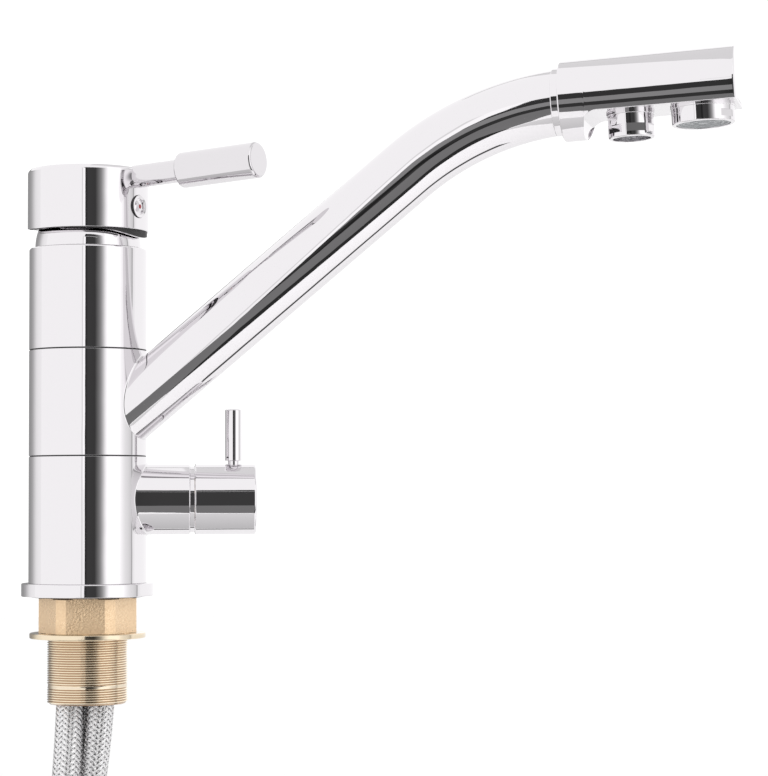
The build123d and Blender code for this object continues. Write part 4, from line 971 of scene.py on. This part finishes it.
skirt_drop = rim_drop + skirt_reach - (RIM - SKIRT)
at_rim, at_skirt = ((outline[:, :1] > 20) & (np.abs(outline[:, 1:] - z) < 1) for z in (RIM, SKIRT))
height = outline[:, 1:] - at_rim * rim_drop - at_skirt * skirt_drop
cap = chromed("lever cap", "lever", turned(np.stack([outline[:, :1] + 0 * around, height], axis=-1), angles=around))
# painted shade: the skirt's outer wall is black, for the shadow crescent under the rim
second_finish(cap, painted_shade_black, lambda p: (np.abs(np.hypot(p[:, 0], p[:, 1]) - 24.85) < 0.15) & (p[:, 2] < 156))

# %% Lever
rod_foot = np.array([0, 0, 176.0])
for name, outline, around in (
        ("rod", [(0, 23.9), (4.85, 23.9), (4.85, 38), (4.85, 53.7, 0.3), (0, 53.7)], 96),
        ("grip", [(4.9, 47.6), (7.5, 47.6, 1.1), (7.5, 64), (7.5, 84.9, 1.2), (0, 84.9)], 128)):
    settle(skin("lever " + name, turned(rounded(outline), rod_foot, lever_out, top, around=around)), lever_chrome,
           "lever", "chrome", "lever_" + name)

# %% Indicator
plug = (0, 0, 164.5)
bezel_outline = closed([(3.4, 25.2), (4.55, 25.0), (4.9, 25.0), (4.9, 26.0), (4.7, 26.35, 0.15), (3.4, 26.1, 0.2)])
bezel = chromed("indicator bezel", "lever", turned(bezel_outline, plug, lever_side, top, around=96))
# painted shade: the bezel's outer wall is black, for the shadow groove round it
second_finish(bezel, painted_shade_black, lambda p: np.hypot(p @ np.cross(top, lever_side), p[:, 2] - plug[2]) > 4.75)
bulge = np.linspace(0, 1, 9)[:, None]
disc = np.concatenate([3.35 * bulge, 26.45 - 1.0 * bulge**2], axis=1)
settle(skin("indicator disc", turned(disc, plug, lever_side, top, around=64)),
       chrome, "lever", "indicator", "indicator_disc")
dot = np.concatenate([1.0 * bulge, 26.56 - 0.22 * bulge**4], axis=1)
settle(skin("indicator dot", turned(dot, plug, lever_side, top, around=48)), looks["indicator"], "lever", "indicator")

# %% [markdown]
# ## The filter valve
# A collar fills the groove between sleeve and knob. The knob is a plain drum as wide as the sleeve, and its pin
# stands straight up.

# %% Collar, knob and pin
collar = closed([(9.2, 43.2), (14.2, 43.2, 0.15), (14.2, 45.2, 0.2), (9.2, 45.2)])
chromed("valve collar", "base", turned(collar, VALVE, (1, 0, 0), top))
knob = rounded([(0, 71.3), (8, 71.3), (SLEEVE_R, 71.3, 1.0), (SLEEVE_R, 45.3, 0.45), (9.4, 45.3, 0.1), (9.4, 51.1),
    (3.75, 51.1), (3.75, 59.5), (0, 59.5)])
chromed("filter knob", "knob", turned(knob, VALVE, (1, 0, 0), top, around=192))
pin = rounded([(0, 49.8), (1.95, 49.8), (2.4, 55.0, 0.2), (2.4, 57.1, 0.1), (3.55, 57.25, 0.15), (3.55, 79.2, 0.6),
    (0, 79.2)])
chromed("filter pin", "knob", turned(pin, (61.8, 0, 0), around=80))

# %% [markdown]
# ## Brass under the deck
# The fixing nut is a hexagon whose corners were turned off on the lathe, on a wide flange. The shank carries a real
# helix: at height z and angle a the thread's phase is z / pitch - a / (2 pi), and its profile is a rounded trapezoid
# made with tanh.

# %% Fixing nut
NUT_CORNER, NUT_FLAT = 20.65, 19
outline = np.concatenate([
    rounded([(17.05, -0.4), (19.6, -0.4), (NUT_CORNER, -1.0), (NUT_CORNER, -2)], steps=3),
    [(NUT_CORNER, -8), (NUT_CORNER, -14), (NUT_CORNER, -15.4)]])
hexagon, angles = milled(outline, NUT_CORNER, NUT_FLAT, radians(-91), 6, between=6)
flange = rounded([(19.0, -15.4), (19.2, -15.5, 0.05), (24.5, -15.5, 0.45), (24.5, -17.7, 0.45), (17.05, -17.7),
    (17.05, -0.4)], steps=6)
grid = np.concatenate([hexagon, all_round(flange, len(angles))])
nut = settle(skin("fixing nut", turned(grid, angles=angles), sharp=18), nut_brass, "base", "brass", "fixing_nut")
second_finish(nut, brass, lambda p: p[:, 2] < -15.3)

# %% Threaded shank
THREAD_PITCH, THREAD_R, THREAD_DEPTH = 1.0, 16.68, 0.32
BAND_Z, BAND_HALF, BAND_R = -37.7, 0.8, 16.7
a = circle(144)
z = np.linspace(-17.0, -44.6, 9 * 28)
phase = 2 * pi * (z[:, None] / THREAD_PITCH - a / (2 * pi))
radius = THREAD_R + THREAD_DEPTH * np.tanh(1.6 * np.cos(phase)) / np.tanh(1.6)
# the thread runs out into a plain band near the lower end
band = np.exp(-(((z - BAND_Z) / BAND_HALF) ** 4))[:, None]
radius = radius * (1 - band) + BAND_R * band
thread = np.stack([radius, z[:, None] + 0 * a], axis=-1)
upper = all_round([(14.0, 13.9), (16.6, 13.9), (17.0, 13.5), (17.0, -16.6)], len(a))
lower = all_round([(16.3, -44.9), (15.9, -45.3), (14.2, -45.3), (14.0, -45.1), (14.0, -20), (14.0, 13.9)], len(a))
settle(skin("threaded shank", turned(np.concatenate([upper, thread, lower]), angles=a), sharp=50), thread_brass_groove_shade(),
       "base", "brass", "threaded_shank")

# %% [markdown]
# ## Hose ends
# Each hose ends in a crimped steel sleeve with a loose nut, like those of real tap hoses.

# %% Nipples and nuts
HOSE_NUT_CORNER, HOSE_NUT_FLAT = 11.2, 10
crimp = [(3.2, 0), (6.3, 0, 0.3), (6.3, 3.2, 0.2), (5.9, 3.6, 0.2), (5.9, 5.2, 0.2), (6.3, 5.6, 0.2), (6.3, 8.2, 0.2),
    (5.9, 8.6, 0.2), (5.9, 10.2, 0.2), (6.3, 10.6, 0.2), (6.3, 18, 0.5), (4.7, 18), (4.7, 23), (7.2, 23),
    (7.2, 26.6), (3.2, 26.6)]
shape = rounded([(4.8, 19.5), (9.6, 19.5, 0.1), (HOSE_NUT_CORNER, 20.6), (HOSE_NUT_CORNER, 35.7), (9.8, 36.7, 0.1),
    (7.6, 36.7), (7.475, 27.2), (7.9, 27.2), (7.9, 22.9), (4.8, 22.9), (4.8, 19.5)], steps=3)
grid, angles = milled(shape, HOSE_NUT_CORNER, HOSE_NUT_FLAT, radians(30), 6, across=4)
for name, route in ROUTES.items():
    end, before = np.array(route[-1], float), np.array(route[-2], float)
    run = (end - before) / np.linalg.norm(end - before)
    settle(skin(f"{name} hose nipple", turned(closed(crimp, steps=4), end, run, (1, 0, 0), around=64)),
           looks["steel"], "base", "steel", f"{name}_hose_nipple")
    chromed(f"{name} hose nut", "base", turned(grid, end, run, (1, 0, 0), angles=angles), sharp=18)

# %% Sizes and finish
visual_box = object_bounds()
for label, box in (("CAD", cad_box), ("visual", visual_box)):
    print(label, "box in mm", [[round(1000 * v, 2) for v in corner] for corner in box])
